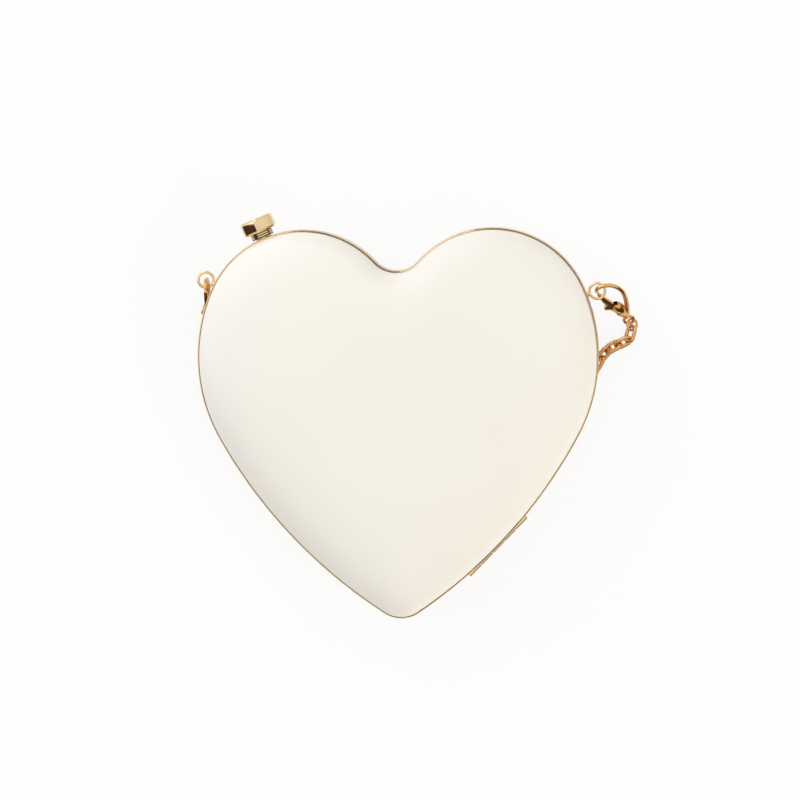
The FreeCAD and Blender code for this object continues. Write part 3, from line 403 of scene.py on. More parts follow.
groove_end = HINGE_LENGTH / 2 / MM + 0.25
groove = turned("hinge_groove", [(HINGE_GROOVE_RADIUS, -groove_end), (HINGE_GROOVE_RADIUS, groove_end)],
                HINGE_MIDDLE, HINGE_ALONG)
notch = turned("stem_notch", [(STEM_NOTCH_RADIUS, -8), (STEM_NOTCH_RADIUS, 2)], KNOB_RIM, KNOB_OUT)
for half, side in (("back", -1), ("front", 1)):
    outline = [(inset, -side * height) for inset, height in frame_outline]
    bar = swept_piece(half + "_rim", heart_loop(RIM_LEVEL), True, outline, pale_gold)
    show(half + "_rim", cut_away(bar, groove, notch), half + "_half", "pale_gold", pale_gold, half + "_frame")


# Shells: pressed fibre board, domed in a hot mould and glued into the frames' channels. They carry
# the covers and the linings, and don't show.
def fibre_board():
    """Pressed fibre board: dull brown-grey felted fibres about 1 mm long."""
    material, tree = new_material("pressed_fibre_board")
    place = add_node(tree, "ShaderNodeTexCoord").outputs["Object"]
    stretch = add_node(tree, "ShaderNodeMapping", {"Vector": place, "Scale": (1, 4, 1)})
    fibres = add_node(tree, "ShaderNodeTexNoise", {"Vector": stretch.outputs[0], "Scale": 1 / (1 * MM), "Detail": 4})
    mixed = add_node(tree, "ShaderNodeMix", {"Factor": fibres.outputs["Fac"], 6: linear("#a8977c"),
                                             7: linear("#cdbfa4")}, data_type="RGBA")
    bump = add_node(tree, "ShaderNodeBump", {"Height": fibres.outputs["Fac"], "Strength": 0.3, "Distance": 0.1 * MM})
    board = add_node(tree, "ShaderNodeBsdfPrincipled", {"Base Color": mixed.outputs[2], "Roughness": 0.85,
                                                        "Normal": bump.outputs[0]})
    add_node(tree, "ShaderNodeOutputMaterial", {"Surface": board.outputs[0]})
    return material


board = fibre_board()
keep_node("back_shell", board)
keep_node("front_shell", board)

# Covers: fine coated leather in ivory, stretched over each domed shell and tucked into the frame's
# channel. The surface is satin, with a pore so fine that only the sheen shows it.
COVER_INSET = LIP_WALL + 0.3 * MM
COVER_RISE = 20 * MM - FRAME_LIP
CROWN_SCALE = 0.26
CLEFT_FILL = 47.36 * MM
DOME_POWER = 2.3
DOME_STEPS = 44
COVER_THICKNESS = 0.7 * MM


def dome_rings(side, foot_inset, depth, foot):
    """Loops of a dome that lies a depth under the cover, from its foot in the channel to its crown."""
    rings = [heart_loop(RIM_LEVEL + side * foot, inset=foot_inset + depth)]
    run = 80 * MM * (1 - CROWN_SCALE)
    for step in range(DOME_STEPS + 1):
        turn = math.pi / 2 * step / DOME_STEPS
        cosine = max(math.cos(turn), 0)
        sine = math.sin(turn)
        along = 1 - cosine ** (2 / DOME_POWER)
        lean = Vector((COVER_RISE * cosine ** (2 - 2 / DOME_POWER), run * sine ** (2 - 2 / DOME_POWER))).normalized()
        height = FRAME_LIP + COVER_RISE * sine ** (2 / DOME_POWER) - depth * lean.y
        rings.append(heart_loop(RIM_LEVEL + side * height, 1 - (1 - CROWN_SCALE) * along,
                                foot_inset * cosine + depth * lean.x, CLEFT_FILL * along))
    crown = rings[-1]
    middle = Vector((0, 0, crown[0].z))
    for share in (0.75, 0.5, 0.25):
        rings.append([middle + (point - middle) * share for point in crown])
    return rings, middle


def coated_leather():
    """Ivory coated leather: satin sheen, a slow drift of tone and pores about 0.5 mm apart."""
    material, tree = new_material("ivory_coated_leather")
    place = add_node(tree, "ShaderNodeTexCoord").outputs["Object"]
    drift = add_node(tree, "ShaderNodeTexNoise", {"Vector": place, "Scale": 1 / (45 * MM), "Detail": 2})
    mixed = add_node(tree, "ShaderNodeMix", {"Factor": drift.outputs["Fac"], 6: linear("#f5f2eb"),
                                             7: linear("#f1ede4")}, data_type="RGBA")
    pores = add_node(tree, "ShaderNodeTexVoronoi", {"Vector": place, "Scale": 1 / (0.5 * MM)}, feature="SMOOTH_F1")
    soft = add_node(tree, "ShaderNodeTexNoise", {"Vector": place, "Scale": 1 / (6 * MM), "Detail": 2})
    rough = add_node(tree, "ShaderNodeMapRange", {"Value": soft.outputs["Fac"], "From Min": 0.3, "From Max": 0.7,
                                                  "To Min": 0.38, "To Max": 0.44})
    bump = add_node(tree, "ShaderNodeBump", {"Height": pores.outputs["Distance"], "Strength": 0.05,
                                             "Distance": 0.05 * MM})
    leather = add_node(tree, "ShaderNodeBsdfPrincipled", {"Base Color": mixed.outputs[2],
                                                          "Roughness": rough.outputs["Result"],
                                                          "Normal": bump.outputs[0], "IOR": 1.48,
                                                          "Coat Weight": 0.12, "Coat Roughness": 0.3})
    add_node(tree, "ShaderNodeOutputMaterial", {"Surface": leather.outputs[0]})
    return material


ivory = coated_leather()
for half, side in (("back", -1), ("front", 1)):
    rings, middle = dome_rings(side, COVER_INSET, 0, FLANGE_TOP + 0.3 * MM)
    sheet = finished(skin(half + "_leather", rings, last=middle))
    sheet = finished(sheet, ("SOLIDIFY", {"thickness": COVER_THICKNESS, "offset": -1}))
    show(half + "_leather", sheet, half + "_half", "ivory_cover", ivory, half + "_cover", sharp=60)

# Linings: champagne satin glued into each half, with a corded piping that hides its raw edge on the
# frame's flange. The piping stops short on both sides of the latch.
RIB_PITCH = 1.675 * MM


def lining_satin():
    """Woven satin: silky sheen and slanting twill ribs, drawn broad enough to show."""
    material, tree = new_material("champagne_lining_satin")
    place = add_node(tree, "ShaderNodeTexCoord").outputs["Object"]
    # On a level sheet, a diagonal wave of scale 1 repeats every pi / (5 * sqrt(2)) metres.
    twill = add_node(tree, "ShaderNodeTexWave", {"Vector": place, "Scale": math.pi / (5 * math.sqrt(2) * RIB_PITCH),
                                                 "Distortion": 0.6, "Detail": 1}, bands_direction="DIAGONAL")
    drift = add_node(tree, "ShaderNodeTexNoise", {"Vector": place, "Scale": 1 / (14 * MM), "Detail": 3})
    mixed = add_node(tree, "ShaderNodeMix", {"Factor": drift.outputs["Fac"], 6: linear("#e0cfb2"),
                                             7: linear("#cdb791")}, data_type="RGBA")
    rough = add_node(tree, "ShaderNodeMapRange", {"Value": twill.outputs["Fac"], "To Min": 0.42, "To Max": 0.6})
    bump = add_node(tree, "ShaderNodeBump", {"Height": twill.outputs["Fac"], "Strength": 0.25, "Distance": 0.08 * MM})
    satin = add_node(tree, "ShaderNodeBsdfPrincipled", {"Base Color": mixed.outputs[2],
                                                        "Roughness": rough.outputs["Result"],
                                                        "Normal": bump.outputs[0], "Sheen Weight": 0.35,
                                                        "Sheen Roughness": 0.4})
    add_node(tree, "ShaderNodeOutputMaterial", {"Surface": satin.outputs[0]})
    return material


def wire(name, points, radii, normal, closed=False, sides=20):
    """A round wire along points of one plane, with a radius at each and rounded ends where it is open."""
    rings = []
    count = len(points)
    for number, (point, radius) in enumerate(zip(points, radii)):
        before = points[number - 1] if closed or number else point
        after = points[(number + 1) % count] if closed or number < count - 1 else point
        tangent = (after - before).normalized()
        rings.append((point, tangent, radius))
    if not closed:
        dome = [math.pi / 2 * step / 6 for step in range(1, 7)]
        (start, tangent, radius), (end, end_tangent, end_radius) = rings[0], rings[-1]
        rings = [(start - tangent * radius * math.sin(turn), tangent, radius * max(math.cos(turn), 0.03))
                 for turn in reversed(dome)] + rings
        rings += [(end + end_tangent * end_radius * math.sin(turn), end_tangent, end_radius * max(math.cos(turn), 0.03))
                  for turn in dome]
    loops = []
    for point, tangent, radius in rings:
        side = normal.cross(tangent).normalized()
        loops.append([point + (side * math.cos(turn) + normal * math.sin(turn)) * radius
                      for turn in [2 * math.pi * step / sides for step in range(sides)]])
    if closed:
        return finished(skin(name, loops, closed=True))
    return finished(skin(name, loops, first=rings[0][0], last=rings[-1][0]))


SHELL_INSET = 1.35 * MM
LINING_DEPTH = 2.55 * MM
LINING_THICKNESS = 0.8 * MM
PIPING_INSET = 5.5 * MM
PIPING_RADIUS = 0.62 * MM
LATCH_ROOM = 8 * MM
UP = Vector((0, 0, 1))
lining = lining_satin()
for half, side in (("back", -1), ("front", 1)):
    rings, middle = dome_rings(side, SHELL_INSET, LINING_DEPTH, FLANGE_TOP)
    sheet = finished(skin(half + "_satin", rings, last=middle))
    sheet = finished(sheet, ("SOLIDIFY", {"thickness": LINING_THICKNESS, "offset": -1}))
    show(half + "_satin", sheet, half + "_half", "lining", lining, half + "_lining", sharp=60)
    loop = heart_loop(RIM_LEVEL + side * (FLANGE_TOP + PIPING_RADIUS), inset=PIPING_INSET)
    latch = KNOB_RIM - KNOB_OUT * PIPING_INSET
    near = min(range(len(loop)), key=lambda place: (loop[place] - latch).length)
    run = [point for point in loop[near:] + loop[:near] if (point - latch).length > LATCH_ROOM]
    round_cord = [(PIPING_RADIUS * math.cos(turn), PIPING_RADIUS * math.sin(turn))
                  for turn in [math.pi * step / 10 for step in range(20)]]
    piping = swept_piece(half + "_piping", run, False, round_cord, lining)
    show(half + "_piping", piping, half + "_half", "lining", lining)

# Hinge: five turned barrels soldered by turns to the two frames and threaded on a steel pin.
# The barrels sit in a groove across the parting line, a little proud of the rim.
BARREL_PITCH = HINGE_LENGTH / 5
BARREL_GAP = 0.3 * MM
spring_steel = plated_metal("plain_spring_steel", "#b9b7b2", "#a5a29c", 0.3, 0.2)

barrel_row, given = node_tree("barrels_on_pin", {"Barrel": "Object", "Count": "Int", "First": "Vector",
                                                 "Step": "Vector", "Plate": "Material"})
places = add_node(barrel_row, "GeometryNodeMeshLine", {"Count": given["Count"], "Start Location": given["First"],
                                                       "Offset": given["Step"]})
shape = add_node(barrel_row, "GeometryNodeObjectInfo", {"Object": given["Barrel"]})
copies = add_node(barrel_row, "GeometryNodeInstanceOnPoints", {"Points": places.outputs[0],
                                                               "Instance": shape.outputs["Geometry"]})
close_tree(barrel_row, copies.outputs[0], given["Plate"])

half_barrel = (BARREL_PITCH - BARREL_GAP) / 2 / MM
barrel_outline = [(0.54, -half_barrel), (0.98, -half_barrel), (1.1, 0.12 - half_barrel), (1.1, half_barrel - 0.12),
                  (0.98, half_barrel), (0.54, half_barrel)]
barrel = bpy.data.objects.new("barrel", turned("barrel", barrel_outline, Vector(), HINGE_ALONG, 40, closed=True))
scene.collection.objects.link(barrel)
for half, count, first in (("back", 3, -2), ("front", 2, -1)):
    row = grown(half + "_barrels", barrel_row, {"Barrel": barrel, "Count": count, "Plate": pale_gold,
                                                "First": HINGE_MIDDLE + HINGE_ALONG * BARREL_PITCH * first,
                                                "Step": HINGE_ALONG * BARREL_PITCH * 2})
    show(half + "_barrels", row, half + "_half", "pale_gold", pale_gold, half + "_knuckles")
bpy.data.objects.remove(barrel)
keep_node("hinge_pin", spring_steel)

# Neck of the push knob: a brass collar with three turned ring grooves, riveted to the back frame's
# wall by a small saddle. The knob's stem slides through it.
GROOVE_LOWS = (0.42, 1.26, 2.1)
GROOVE_WIDTH = 0.44
GROOVE_FLOOR = 4.12
COLLAR_RADIUS = 4.6
COLLAR_BORE = 1.05
SHADE_RING_FLOOR = 4.0
SHADE_RING_FACE = 4.42
collar_outline = [(COLLAR_BORE, 0.3), (4.45, 0.3), (COLLAR_RADIUS, 0.4)]
for low in GROOVE_LOWS:
    collar_outline += [(COLLAR_RADIUS, low), (GROOVE_FLOOR, low + 0.06), (GROOVE_FLOOR, low + GROOVE_WIDTH - 0.06),
                       (COLLAR_RADIUS, low + GROOVE_WIDTH)]
collar_outline += [(COLLAR_RADIUS, 3.65), (4.45, 3.8), (COLLAR_BORE, 3.8)]
collar = turned("grooved_collar", collar_outline, KNOB_RIM, KNOB_OUT, 96, closed=True)


def groove_lacquer():
    """Painted groove shade: near-black rings that stand for the shade in the collar's grooves, glossy, with small dull
    patches.
    """
    material, tree = new_material("wiped_black_lacquer")
    place = add_node(tree, "ShaderNodeTexCoord").outputs["Object"]
    blotches = add_node(tree, "ShaderNodeTexNoise", {"Vector": place, "Scale": 1 / (0.8 * MM), "Detail": 2})
    mixed = add_node(tree, "ShaderNodeMix", {"Factor": blotches.outputs["Fac"], 6: linear("#17120e"), 7: linear("#2e241b")},
                     data_type="RGBA")
    rough = add_node(tree, "ShaderNodeMapRange", {"Value": blotches.outputs["Fac"], "To Min": 0.3, "To Max": 0.6})
    groove_shade = add_node(tree, "ShaderNodeBsdfPrincipled", {"Base Color": mixed.outputs[2],
                                                          "Roughness": rough.outputs["Result"]})
    add_node(tree, "ShaderNodeOutputMaterial", {"Surface": groove_shade.outputs[0]})
    return material


# The collar's three grooves get rings of near-black colour that paint in the shade falling in them.
groove_shade = groove_lacquer()
for number, low in enumerate(GROOVE_LOWS):
    high = low + GROOVE_WIDTH
    shade_ring = [(SHADE_RING_FLOOR, low + 0.04), (SHADE_RING_FACE, low + 0.04), (SHADE_RING_FACE, high - 0.04),
             (SHADE_RING_FLOOR, high - 0.04)]
    show("groove_lacquer_%d" % number, turned("groove_lacquer", shade_ring, KNOB_RIM, KNOB_OUT, 96, closed=True),
         "back_half", "pale_gold", groove_shade)


def block(name, low, high, place, edge):
    """A block with rounded edges between two corners, in millimetres of a placement."""
    mesh = bpy.data.meshes.new(name)
    form = bmesh.new()
    bmesh.ops.create_cube(form, size=1)
    size = Vector(high) - Vector(low)
    middle = (Vector(high) + Vector(low)) / 2
    for corner in form.verts:
        corner.co = place @ (Vector([corner.co[axis] * size[axis] + middle[axis] for axis in range(3)]) * MM)
    form.to_mesh(mesh)
    form.free()
    return finished(mesh, ("BEVEL", {"width": edge * MM, "segments": 3, "limit_method": "ANGLE"}))


def joined(name, *meshes):
    """One mesh of several."""
    form = bmesh.new()
    for mesh in meshes:
        form.from_mesh(mesh)
    result = bpy.data.meshes.new(name)
    form.to_mesh(result)
    form.free()
    return result


knob_side = UP.cross(KNOB_OUT)
knob_place = Matrix((knob_side, UP, KNOB_OUT)).transposed().to_4x4()
knob_place.translation = KNOB_RIM
saddle = block("collar_saddle", (-3, -4.5, -0.1), (3, -0.3, 0.28), knob_place, 0.12)
show("grooved_collar", joined("grooved_collar", collar, saddle), "back_half", "pale_gold", pale_gold, "clasp_collar")

# Knob spring: three turns of steel wire between the neck and the hollow head. The real spring is pressed together when
# the knob goes in, which this coil does not show.
COIL_LOW = 3.95 * MM
COIL_HEIGHT = 3.6 * MM
COIL_TURNS = 3.0
COIL_RADIUS = 2.4 * MM
COIL_WIRE = 0.2 * MM
coil_tree, given = node_tree("coil_on_stem", {"Turns": "Float", "Radius": "Float", "Height": "Float", "Wire": "Float",
                                              "Plate": "Material"})
helix = add_node(coil_tree, "GeometryNodeCurveSpiral", {"Resolution": 40, "Rotations": given["Turns"],
                                                        "Start Radius": given["Radius"], "End Radius": given["Radius"],
                                                        "Height": given["Height"]})
section = add_node(coil_tree, "GeometryNodeCurvePrimitiveCircle", {"Resolution": 12, "Radius": given["Wire"]})
coil = add_node(coil_tree, "GeometryNodeCurveToMesh", {"Curve": helix.outputs[0], "Fill Caps": True,
                                                       "Profile Curve": section.outputs[0]})
close_tree(coil_tree, coil.outputs[0], given["Plate"])
coil_mesh = grown("knob_coil", coil_tree, {"Turns": COIL_TURNS, "Radius": COIL_RADIUS, "Wire": COIL_WIRE,
                                           "Height": COIL_HEIGHT - 2 * COIL_WIRE, "Plate": spring_steel})
coil_mesh.transform(knob_place @ Matrix.Translation((0, 0, COIL_LOW + COIL_WIRE)))
knob_coil = show("knob_coil", coil_mesh, "back_half", "steel", spring_steel, "knob_spring")
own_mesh(knob_coil)

# Push knob: a hexagonal brass head with softened edges on a round stem. One edge points up, so that
# one flat looks to the dark side of the room and its neighbour to the bright one.
HEAD_FLATS = 12.7
HEAD_LOW = 2.7
HEAD_HIGH = 8.3
RECESS_RADIUS = 4.85
RECESS_TOP = 7.8
HEAD_CHAMFER = 0.75 * MM
HEAD_EDGE = 0.14 * MM
STEM_RADIUS = 1.0
head_mesh = bpy.data.meshes.new("knob_head")
corner_radius = HEAD_FLATS / math.sqrt(3)
corners = []
for distance in (HEAD_LOW, HEAD_HIGH):
    for step in range(6):
        turn = math.pi / 2 + math.pi / 3 * step
        spot = Vector((corner_radius * math.cos(turn), corner_radius * math.sin(turn), distance))
        corners.append(knob_place @ (spot * MM))
head_faces = [tuple(range(6)), tuple(range(6, 12))]
head_faces += [(step, (step + 1) % 6, (step + 1) % 6 + 6, step + 6) for step in range(6)]
head_mesh.from_pydata(corners, [], head_faces)
head = finished(head_mesh)
head = finished(head, ("BEVEL", {"width": HEAD_CHAMFER, "segments": 1, "limit_method": "ANGLE"}))
head = finished(head, ("BEVEL", {"width": HEAD_EDGE, "segments": 3, "limit_method": "ANGLE",
                                 "angle_limit": math.radians(15)}))
recess = turned("knob_recess", [(RECESS_RADIUS, HEAD_LOW - 0.2), (RECESS_RADIUS, RECESS_TOP)], KNOB_RIM, KNOB_OUT, 96)
head = cut_away(head, recess)
stem = turned("knob_stem", [(0.85, -7.3), (STEM_RADIUS, -7.15), (STEM_RADIUS, RECESS_TOP + 0.2)], KNOB_RIM,
              KNOB_OUT, 40)
show("push_knob", joined("push_knob", head, stem), "knob", "pale_gold", pale_gold, "clasp_knob", sharp=30)

# Latch: a stamped bolt plate on the stem's end, held by a washer and a steel screw. It hooks behind
# a strike plate that two rivets hold on the lid's flange.
for name in ("stem_washer", "latch_bolt", "strike_plate", "strike_rivets"):
    keep_node(name, pale_gold)
keep_node("latch_screw", spring_steel)

# Eye rings: brass wire rings that lie flat at the sides, each with a short neck through a small
# rosette on the back frame's wall.
EYES = {"right": (Vector((75.779, 37.340, 16.4)) * MM, Vector((0.9373, 0.3486, 0))),
        "left": (Vector((-73.243, 43.201, 16.4)) * MM, Vector((-0.8886, 0.4586, 0)))}
EYE_REACH = 4.05 * MM
EYE_RADIUS = 3.1 * MM
EYE_WIRE = 0.55 * MM


def circle(centre, side, other, radius, start=0, end=360, count=64):
    """Points of an arc, by degrees in the plane of two directions."""
    turns = [math.radians(start + (end - start) * step / count) for step in range(count + (end - start < 360))]
    return [centre + (side * math.cos(turn) + other * math.sin(turn)) * radius for turn in turns]


for hand, (rim, out) in EYES.items():
    ring_points = circle(rim + out * EYE_REACH, Vector((1, 0, 0)), Vector((0, 1, 0)), EYE_RADIUS)
    ring = wire(hand + "_eye_ring", ring_points, [EYE_WIRE] * len(ring_points), UP, closed=True)
    neck = turned(hand + "_eye_neck", [(0.75, -0.5), (1.05, -0.1), (1.05, 0.25), (0.8, 0.4), (0.7, 0.6), (0.62, 1.0)],
                  rim, out, 32)
    show(hand + "_eye_ring", joined(hand + "_eye_ring", ring, neck), "back_half", "pale_gold", pale_gold, hand + "_eye")

# Lobster clasps: cast hooks with a swollen body and a tail eye, plated in warmer gold. A lever on a
# rivet closes each hook, pressed outwards by a steel leaf.
warm_gold = plated_metal("warm_gold_plate", "#edbd84", "#d99e60", 0.14, 0.12)
CLASPS = {"right": (Vector((79.979, 41.190, 18.788)) * MM, (-50, 38, 20)),
          "left": (Vector((-76.732, 45.100, 18.646)) * MM, (-92, 40, -90))}
LEVER_HALF = 0.75
LEVER_EDGE = 0.28 * MM
ARM_LINE = [(2.41, -2.33), (1.5, -1.3), (1.35, 0.2), (1.9, 1.9), (3.3, 3.9), (6.0, 5.4), (9.4, 5.8), (13.2, 4.8),
            (16.8, 3.2), (19.6, 1.6), (22.0, 0.2)]
BODY_CENTRE = Vector((17.4, -0.15, 0)) * MM
BODY_HALVES = (5.2, 2.4, 2.05)
BODY_TAPER = 0.16
PIVOT = Vector((16.948, -0.7982, 0)) * MM
TAIL_ASIDE = -0.3982
TAIL_CENTRE = Vector((24.248, TAIL_ASIDE, 0)) * MM
TAIL_RADIUS = 2.0 * MM
TAIL_WIRE = 0.6 * MM
CAST_GRAIN = 0.14 * MM
FORWARD = Vector((1, 0, 0))
ASIDE = Vector((0, 1, 0))


def rounded_loop(corners, steps=6, closed=True):
    """A smooth line through given corners, closed on itself or open."""
    points = []
    count = len(corners)
    for number in range(count if closed else count - 1):
        spots = [number + shift for shift in (-1, 0, 1, 2)]
        if not closed:
            spots = [min(max(spot, 0), count - 1) for spot in spots]
        p0, p1, p2, p3 = [Vector(corners[spot % count]) for spot in spots]
        for step in range(steps):
            t = step / steps
            points.append((p1 * 2 + (p2 - p0) * t + (p0 * 2 - p1 * 5 + p2 * 4 - p3) * t ** 2
                           + (p1 * 3 - p0 - p2 * 3 + p3) * t ** 3) / 2)
    return points


def cast_hook(name):
    """The hook with its arm, nose, body, neck and tail eye run together as in one casting."""
    spine = [Vector((*point, 0)) * MM for point in rounded_loop(ARM_LINE, 8, closed=False)]
    # The arm thickens a little behind its nose and swells towards the body.
    swell = [(0.7 + 0.15 * min(step / 10, 1) + 0.6 * max(step / len(spine) - 0.45, 0) ** 1.3) * MM
             for step in range(len(spine))]
    arm = wire(name + "_arm", spine, swell, UP)
    body = bpy.data.meshes.new(name + "_body")
    form = bmesh.new()
    bmesh.ops.create_icosphere(form, subdivisions=4, radius=1)
    for point in form.verts:
        taper = 1 - BODY_TAPER * point.co.x
        point.co = BODY_CENTRE + Vector((point.co.x * BODY_HALVES[0], point.co.y * BODY_HALVES[1] * taper,
                                         point.co.z * BODY_HALVES[2] * taper)) * MM
    form.to_mesh(body)
    form.free()
    neck = turned(name + "_neck", [(1.9, 18.5), (1.5, 20), (1.15, 21.2), (1.0, 22.6)], Vector((0, TAIL_ASIDE * MM, 0)),
                  FORWARD, 32)
    tail_points = circle(TAIL_CENTRE, FORWARD, ASIDE, TAIL_RADIUS)
    tail = wire(name + "_tail", tail_points, [TAIL_WIRE] * len(tail_points), UP, closed=True)
    cast = finished(joined(name, arm, body, neck, tail), ("REMESH", {"mode": "VOXEL", "voxel_size": CAST_GRAIN}),
                    ("SMOOTH", {"iterations": 8, "factor": 0.5}))
    slot = block(name + "_slot", (7.5, -7.2, -1.1), (18.9, 1.05, 1.1), Matrix(), 0.2)
    return cut_away(cast, slot)


def lever(name):
    """The clasp's lever: a plate with softened edges, a slim nose, a thumb tab and a round heel."""
    outline = [(3.75, -2.15), (6, -1.75), (9, -1.2), (12, -0.55), (14.3, 0), (16.2, 0.35), (17.6, 0.35), (18.45, -0.5),
               (18.2, -1.8), (17, -2.5), (15.4, -3.0), (14.2, -3.4), (13.9, -4.0), (13.6, -4.7), (12.8, -5.0),
               (12.1, -4.6), (11.8, -3.8), (10.8, -3.5), (8.6, -3.4), (6, -3.2), (4.2, -3.05), (3.6, -2.65)]
    mesh = bpy.data.meshes.new(name)
    form = bmesh.new()
    lower = [form.verts.new(Vector((point.x, point.y, -LEVER_HALF)) * MM) for point in rounded_loop(outline)]
    upper = [form.verts.new(Vector((point.x, point.y, LEVER_HALF)) * MM) for point in rounded_loop(outline)]
    form.faces.new(lower)
    form.faces.new(upper)
    for step in range(len(lower)):
        after = (step + 1) % len(lower)
        form.faces.new((lower[step], lower[after], upper[after], upper[step]))
    form.to_mesh(mesh)
    form.free()
    mesh = finished(mesh)
    return finished(mesh, ("BEVEL", {"width": LEVER_EDGE, "segments": 3, "limit_method": "ANGLE",
                                     "angle_limit": math.radians(50)}))


rivet_outline = [(0.05, -2.72), (0.5, -2.66), (0.85, -2.48), (0.95, -2.25), (0.7, -2.1), (0.7, 2.1), (0.95, 2.25),
                 (0.85, 2.48), (0.5, 2.66), (0.05, 2.72)]
hook_shape = cast_hook("cast_hook")
lever_shape = lever("clasp_lever")
rivet_shape = turned("clasp_rivet", rivet_outline, PIVOT, UP, 32)
leaf_line = rounded_loop([(18.2, 0.82), (17.4, 0.81), (16.4, 0.74), (15.4, 0.58), (14.8, 0.56)], closed=False)
leaf_outline = [(0.1, -0.7), (0.06, -0.8), (-0.06, -0.8), (-0.1, -0.7), (-0.1, 0.7), (-0.06, 0.8), (0.06, 0.8),
                (0.1, 0.7)]
leaf_shape = swept_piece("clasp_leaf", [Vector((*point, 0)) * MM for point in leaf_line], False,
                         [(depth * MM, width * MM) for depth, width in leaf_outline], spring_steel)
for hand, (base, turns) in CLASPS.items():
    about_z, about_y, about_x = [math.radians(turn) for turn in turns]
    place = Matrix.Translation(base) @ Matrix.Rotation(about_z, 4, "Z") @ Matrix.Rotation(about_y, 4, "Y") \
        @ Matrix.Rotation(about_x, 4, "X")
    for kind, shape, body, slot, plate in (("hook", hook_shape, "back_half", "gold", warm_gold),
                                           ("rivet", rivet_shape, "back_half", "gold", warm_gold),
                                           ("trigger", lever_shape, hand + "_lever", "gold", warm_gold),
                                           ("leaf", leaf_shape, "back_half", "steel", spring_steel)):
        mesh = shape.copy()
        mesh.transform(place)
        show(hand + "_clasp_" + kind, mesh, body, slot, plate, hand + "_" + kind)

# Jump rings: round brass wire bent into a ring, with the cut where it was closed. They join the
# clasps' tail eyes to the ends of the chain.
CHAIN_ROUTE = [(93.15, 24.36, 2.46), (92.8, 20.4, 2.55), (90.4, 17.4, 2.4), (86.0, 16.0, 2.4), (82.2, 13.4, 2.4),
               (79.2, 9.0, 2.4), (75.6, 2.2, 2.4), (71.2, -7.4, 2.4), (64.6, -19.2, 2.4), (56.4, -32.2, 2.4),
               (46.8, -45.4, 2.4), (35.8, -57.4, 2.4), (24.2, -68.2, 2.4), (11.5, -76.6, 2.4), (-1, -78.6, 2.4),
               (-13.5, -75.4, 2.4), (-25.6, -66.8, 2.4), (-37.2, -55.8, 2.4), (-47.8, -43.8, 2.4),
               (-57.8, -31.2, 2.4), (-66.4, -18.6, 2.4), (-72.2, -6.2, 2.4), (-74.7, 6.0, 2.4), (-75.6, 15.6, 2.4),
               (-77.38, 23.39, 2.95)]
JUMP_RADIUS = 2.3 * MM
JUMP_WIRE = 0.5 * MM
for hand, spot, turn, lean in (("right", CHAIN_ROUTE[0], 6.3, 35.2), ("left", CHAIN_ROUTE[-1], -159.5, 27.3)):
    ring_points = circle(Vector(), FORWARD, ASIDE, JUMP_RADIUS, 92, 448)
    ring = wire(hand + "_jump_wire", ring_points, [JUMP_WIRE] * len(ring_points), UP)
    ring.transform(Matrix.Translation(Vector(spot) * MM) @ Matrix.Rotation(math.radians(turn), 4, "Z")
                   @ Matrix.Rotation(math.radians(lean), 4, "Y"))
    show(hand + "_jump_wire", ring, "back_half", "gold", warm_gold, hand + "_jump_ring")

# Chain: soldered oval links of round brass wire. Each is turned a quarter from its neighbour, so
# that the chain lies on the edges of its links, out from the right clasp, under the case and up again.
LINKS = 61
LINK_LENGTH = 8.0 * MM
LINK_WIDTH = 5.6 * MM
LINK_WIRE = 1.6 * MM
LINK_BEND = 0.498
CHAIN_LEAD = 3.9 * MM
route_curve = bpy.data.curves.new("chain_route", "CURVE")
route_curve.dimensions = "3D"
spline = route_curve.splines.new("NURBS")
spline.points.add(len(CHAIN_ROUTE) - 1)
for point, place in zip(spline.points, CHAIN_ROUTE):
    point.co = (*(Vector(place) * MM), 1)
spline.order_u = 3
spline.use_endpoint_u = True
route_curve.resolution_u = 16
route = bpy.data.objects.new("chain_route", route_curve)
scene.collection.objects.link(route)
graph = bpy.context.evaluated_depsgraph_get()
route_line = bpy.data.meshes.new_from_object(route.evaluated_get(graph), depsgraph=graph)

chain_tree, given = node_tree("links_on_route", {"Route": "Object", "Links": "Int", "Lead": "Float", "Length": "Float",
                                                 "Width": "Float", "Wire": "Float", "Roll": "Float",
                                                 "Plate": "Material"})
line = add_node(chain_tree, "GeometryNodeObjectInfo", {"Object": given["Route"]}).outputs["Geometry"]
whole = add_node(chain_tree, "GeometryNodeCurveLength", {0: line})
last_spot = add_node(chain_tree, "ShaderNodeMath", {0: whole.outputs[0], 1: given["Lead"]}, operation="SUBTRACT")
trimmed = add_node(chain_tree, "GeometryNodeTrimCurve", {0: line, 4: given["Lead"], 5: last_spot.outputs[0]},
                   mode="LENGTH")
spots = add_node(chain_tree, "GeometryNodeCurveToPoints", {"Curve": trimmed.outputs[0], "Count": given["Links"]},
                 mode="COUNT")
facing = add_node(chain_tree, "FunctionNodeAxesToRotation", {0: spots.outputs["Tangent"], 1: (0, 0, 1)},
                  primary_axis="X", secondary_axis="Z")
order = add_node(chain_tree, "GeometryNodeInputIndex").outputs[0]
every_other = add_node(chain_tree, "ShaderNodeMath", {0: order, 1: 2}, operation="MODULO")
swing = add_node(chain_tree, "ShaderNodeMath", {0: every_other.outputs[0], 1: -2, 2: 1}, operation="MULTIPLY_ADD")
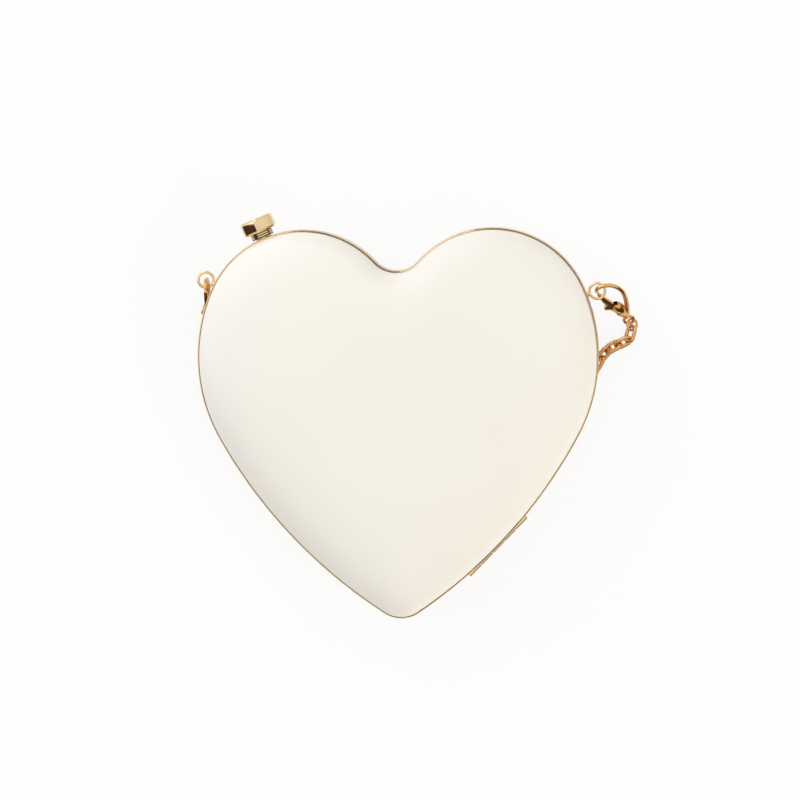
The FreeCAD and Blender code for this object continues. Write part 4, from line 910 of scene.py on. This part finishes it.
angle = add_node(chain_tree, "ShaderNodeMath", {0: swing.outputs[0], 1: given["Roll"]}, operation="MULTIPLY")
roll = add_node(chain_tree, "ShaderNodeCombineXYZ", {"X": angle.outputs[0]})
roll_turn = add_node(chain_tree, "FunctionNodeEulerToRotation", {0: roll.outputs[0]})
rolled = add_node(chain_tree, "FunctionNodeRotateRotation", {0: facing.outputs[0], 1: roll_turn.outputs[0]},
                  rotation_space="LOCAL")
long_way = add_node(chain_tree, "ShaderNodeMath", {0: given["Length"], 1: given["Wire"]}, operation="SUBTRACT")
short_way = add_node(chain_tree, "ShaderNodeMath", {0: given["Width"], 1: given["Wire"]}, operation="SUBTRACT")
oval = add_node(chain_tree, "GeometryNodeCurvePrimitiveQuadrilateral", {"Width": long_way.outputs[0],
                                                                        "Height": short_way.outputs[0]})
bend = add_node(chain_tree, "ShaderNodeMath", {0: short_way.outputs[0], 1: LINK_BEND}, operation="MULTIPLY")
softened = add_node(chain_tree, "GeometryNodeFilletCurve", {"Curve": oval.outputs[0], "Radius": bend.outputs[0],
                                                            "Count": 9}, mode="POLY")
half_wire = add_node(chain_tree, "ShaderNodeMath", {0: given["Wire"], 1: 0.5}, operation="MULTIPLY")
section = add_node(chain_tree, "GeometryNodeCurvePrimitiveCircle", {"Resolution": 14, "Radius": half_wire.outputs[0]})
link = add_node(chain_tree, "GeometryNodeCurveToMesh", {"Curve": softened.outputs[0],
                                                        "Profile Curve": section.outputs[0]})
links = add_node(chain_tree, "GeometryNodeInstanceOnPoints", {"Points": spots.outputs[0], "Instance": link.outputs[0],
                                                              "Rotation": rolled.outputs[0]})
close_tree(chain_tree, links.outputs[0], given["Plate"])
chain_mesh = grown("hand_chain", chain_tree, {"Route": route, "Links": LINKS, "Lead": CHAIN_LEAD, "Length": LINK_LENGTH,
                                              "Width": LINK_WIDTH, "Wire": LINK_WIRE, "Roll": math.pi / 4,
                                              "Plate": warm_gold})
bpy.data.objects.remove(route)
chain = show("hand_chain", chain_mesh, "back_half", "gold", warm_gold, "chain_links", sharp=60)
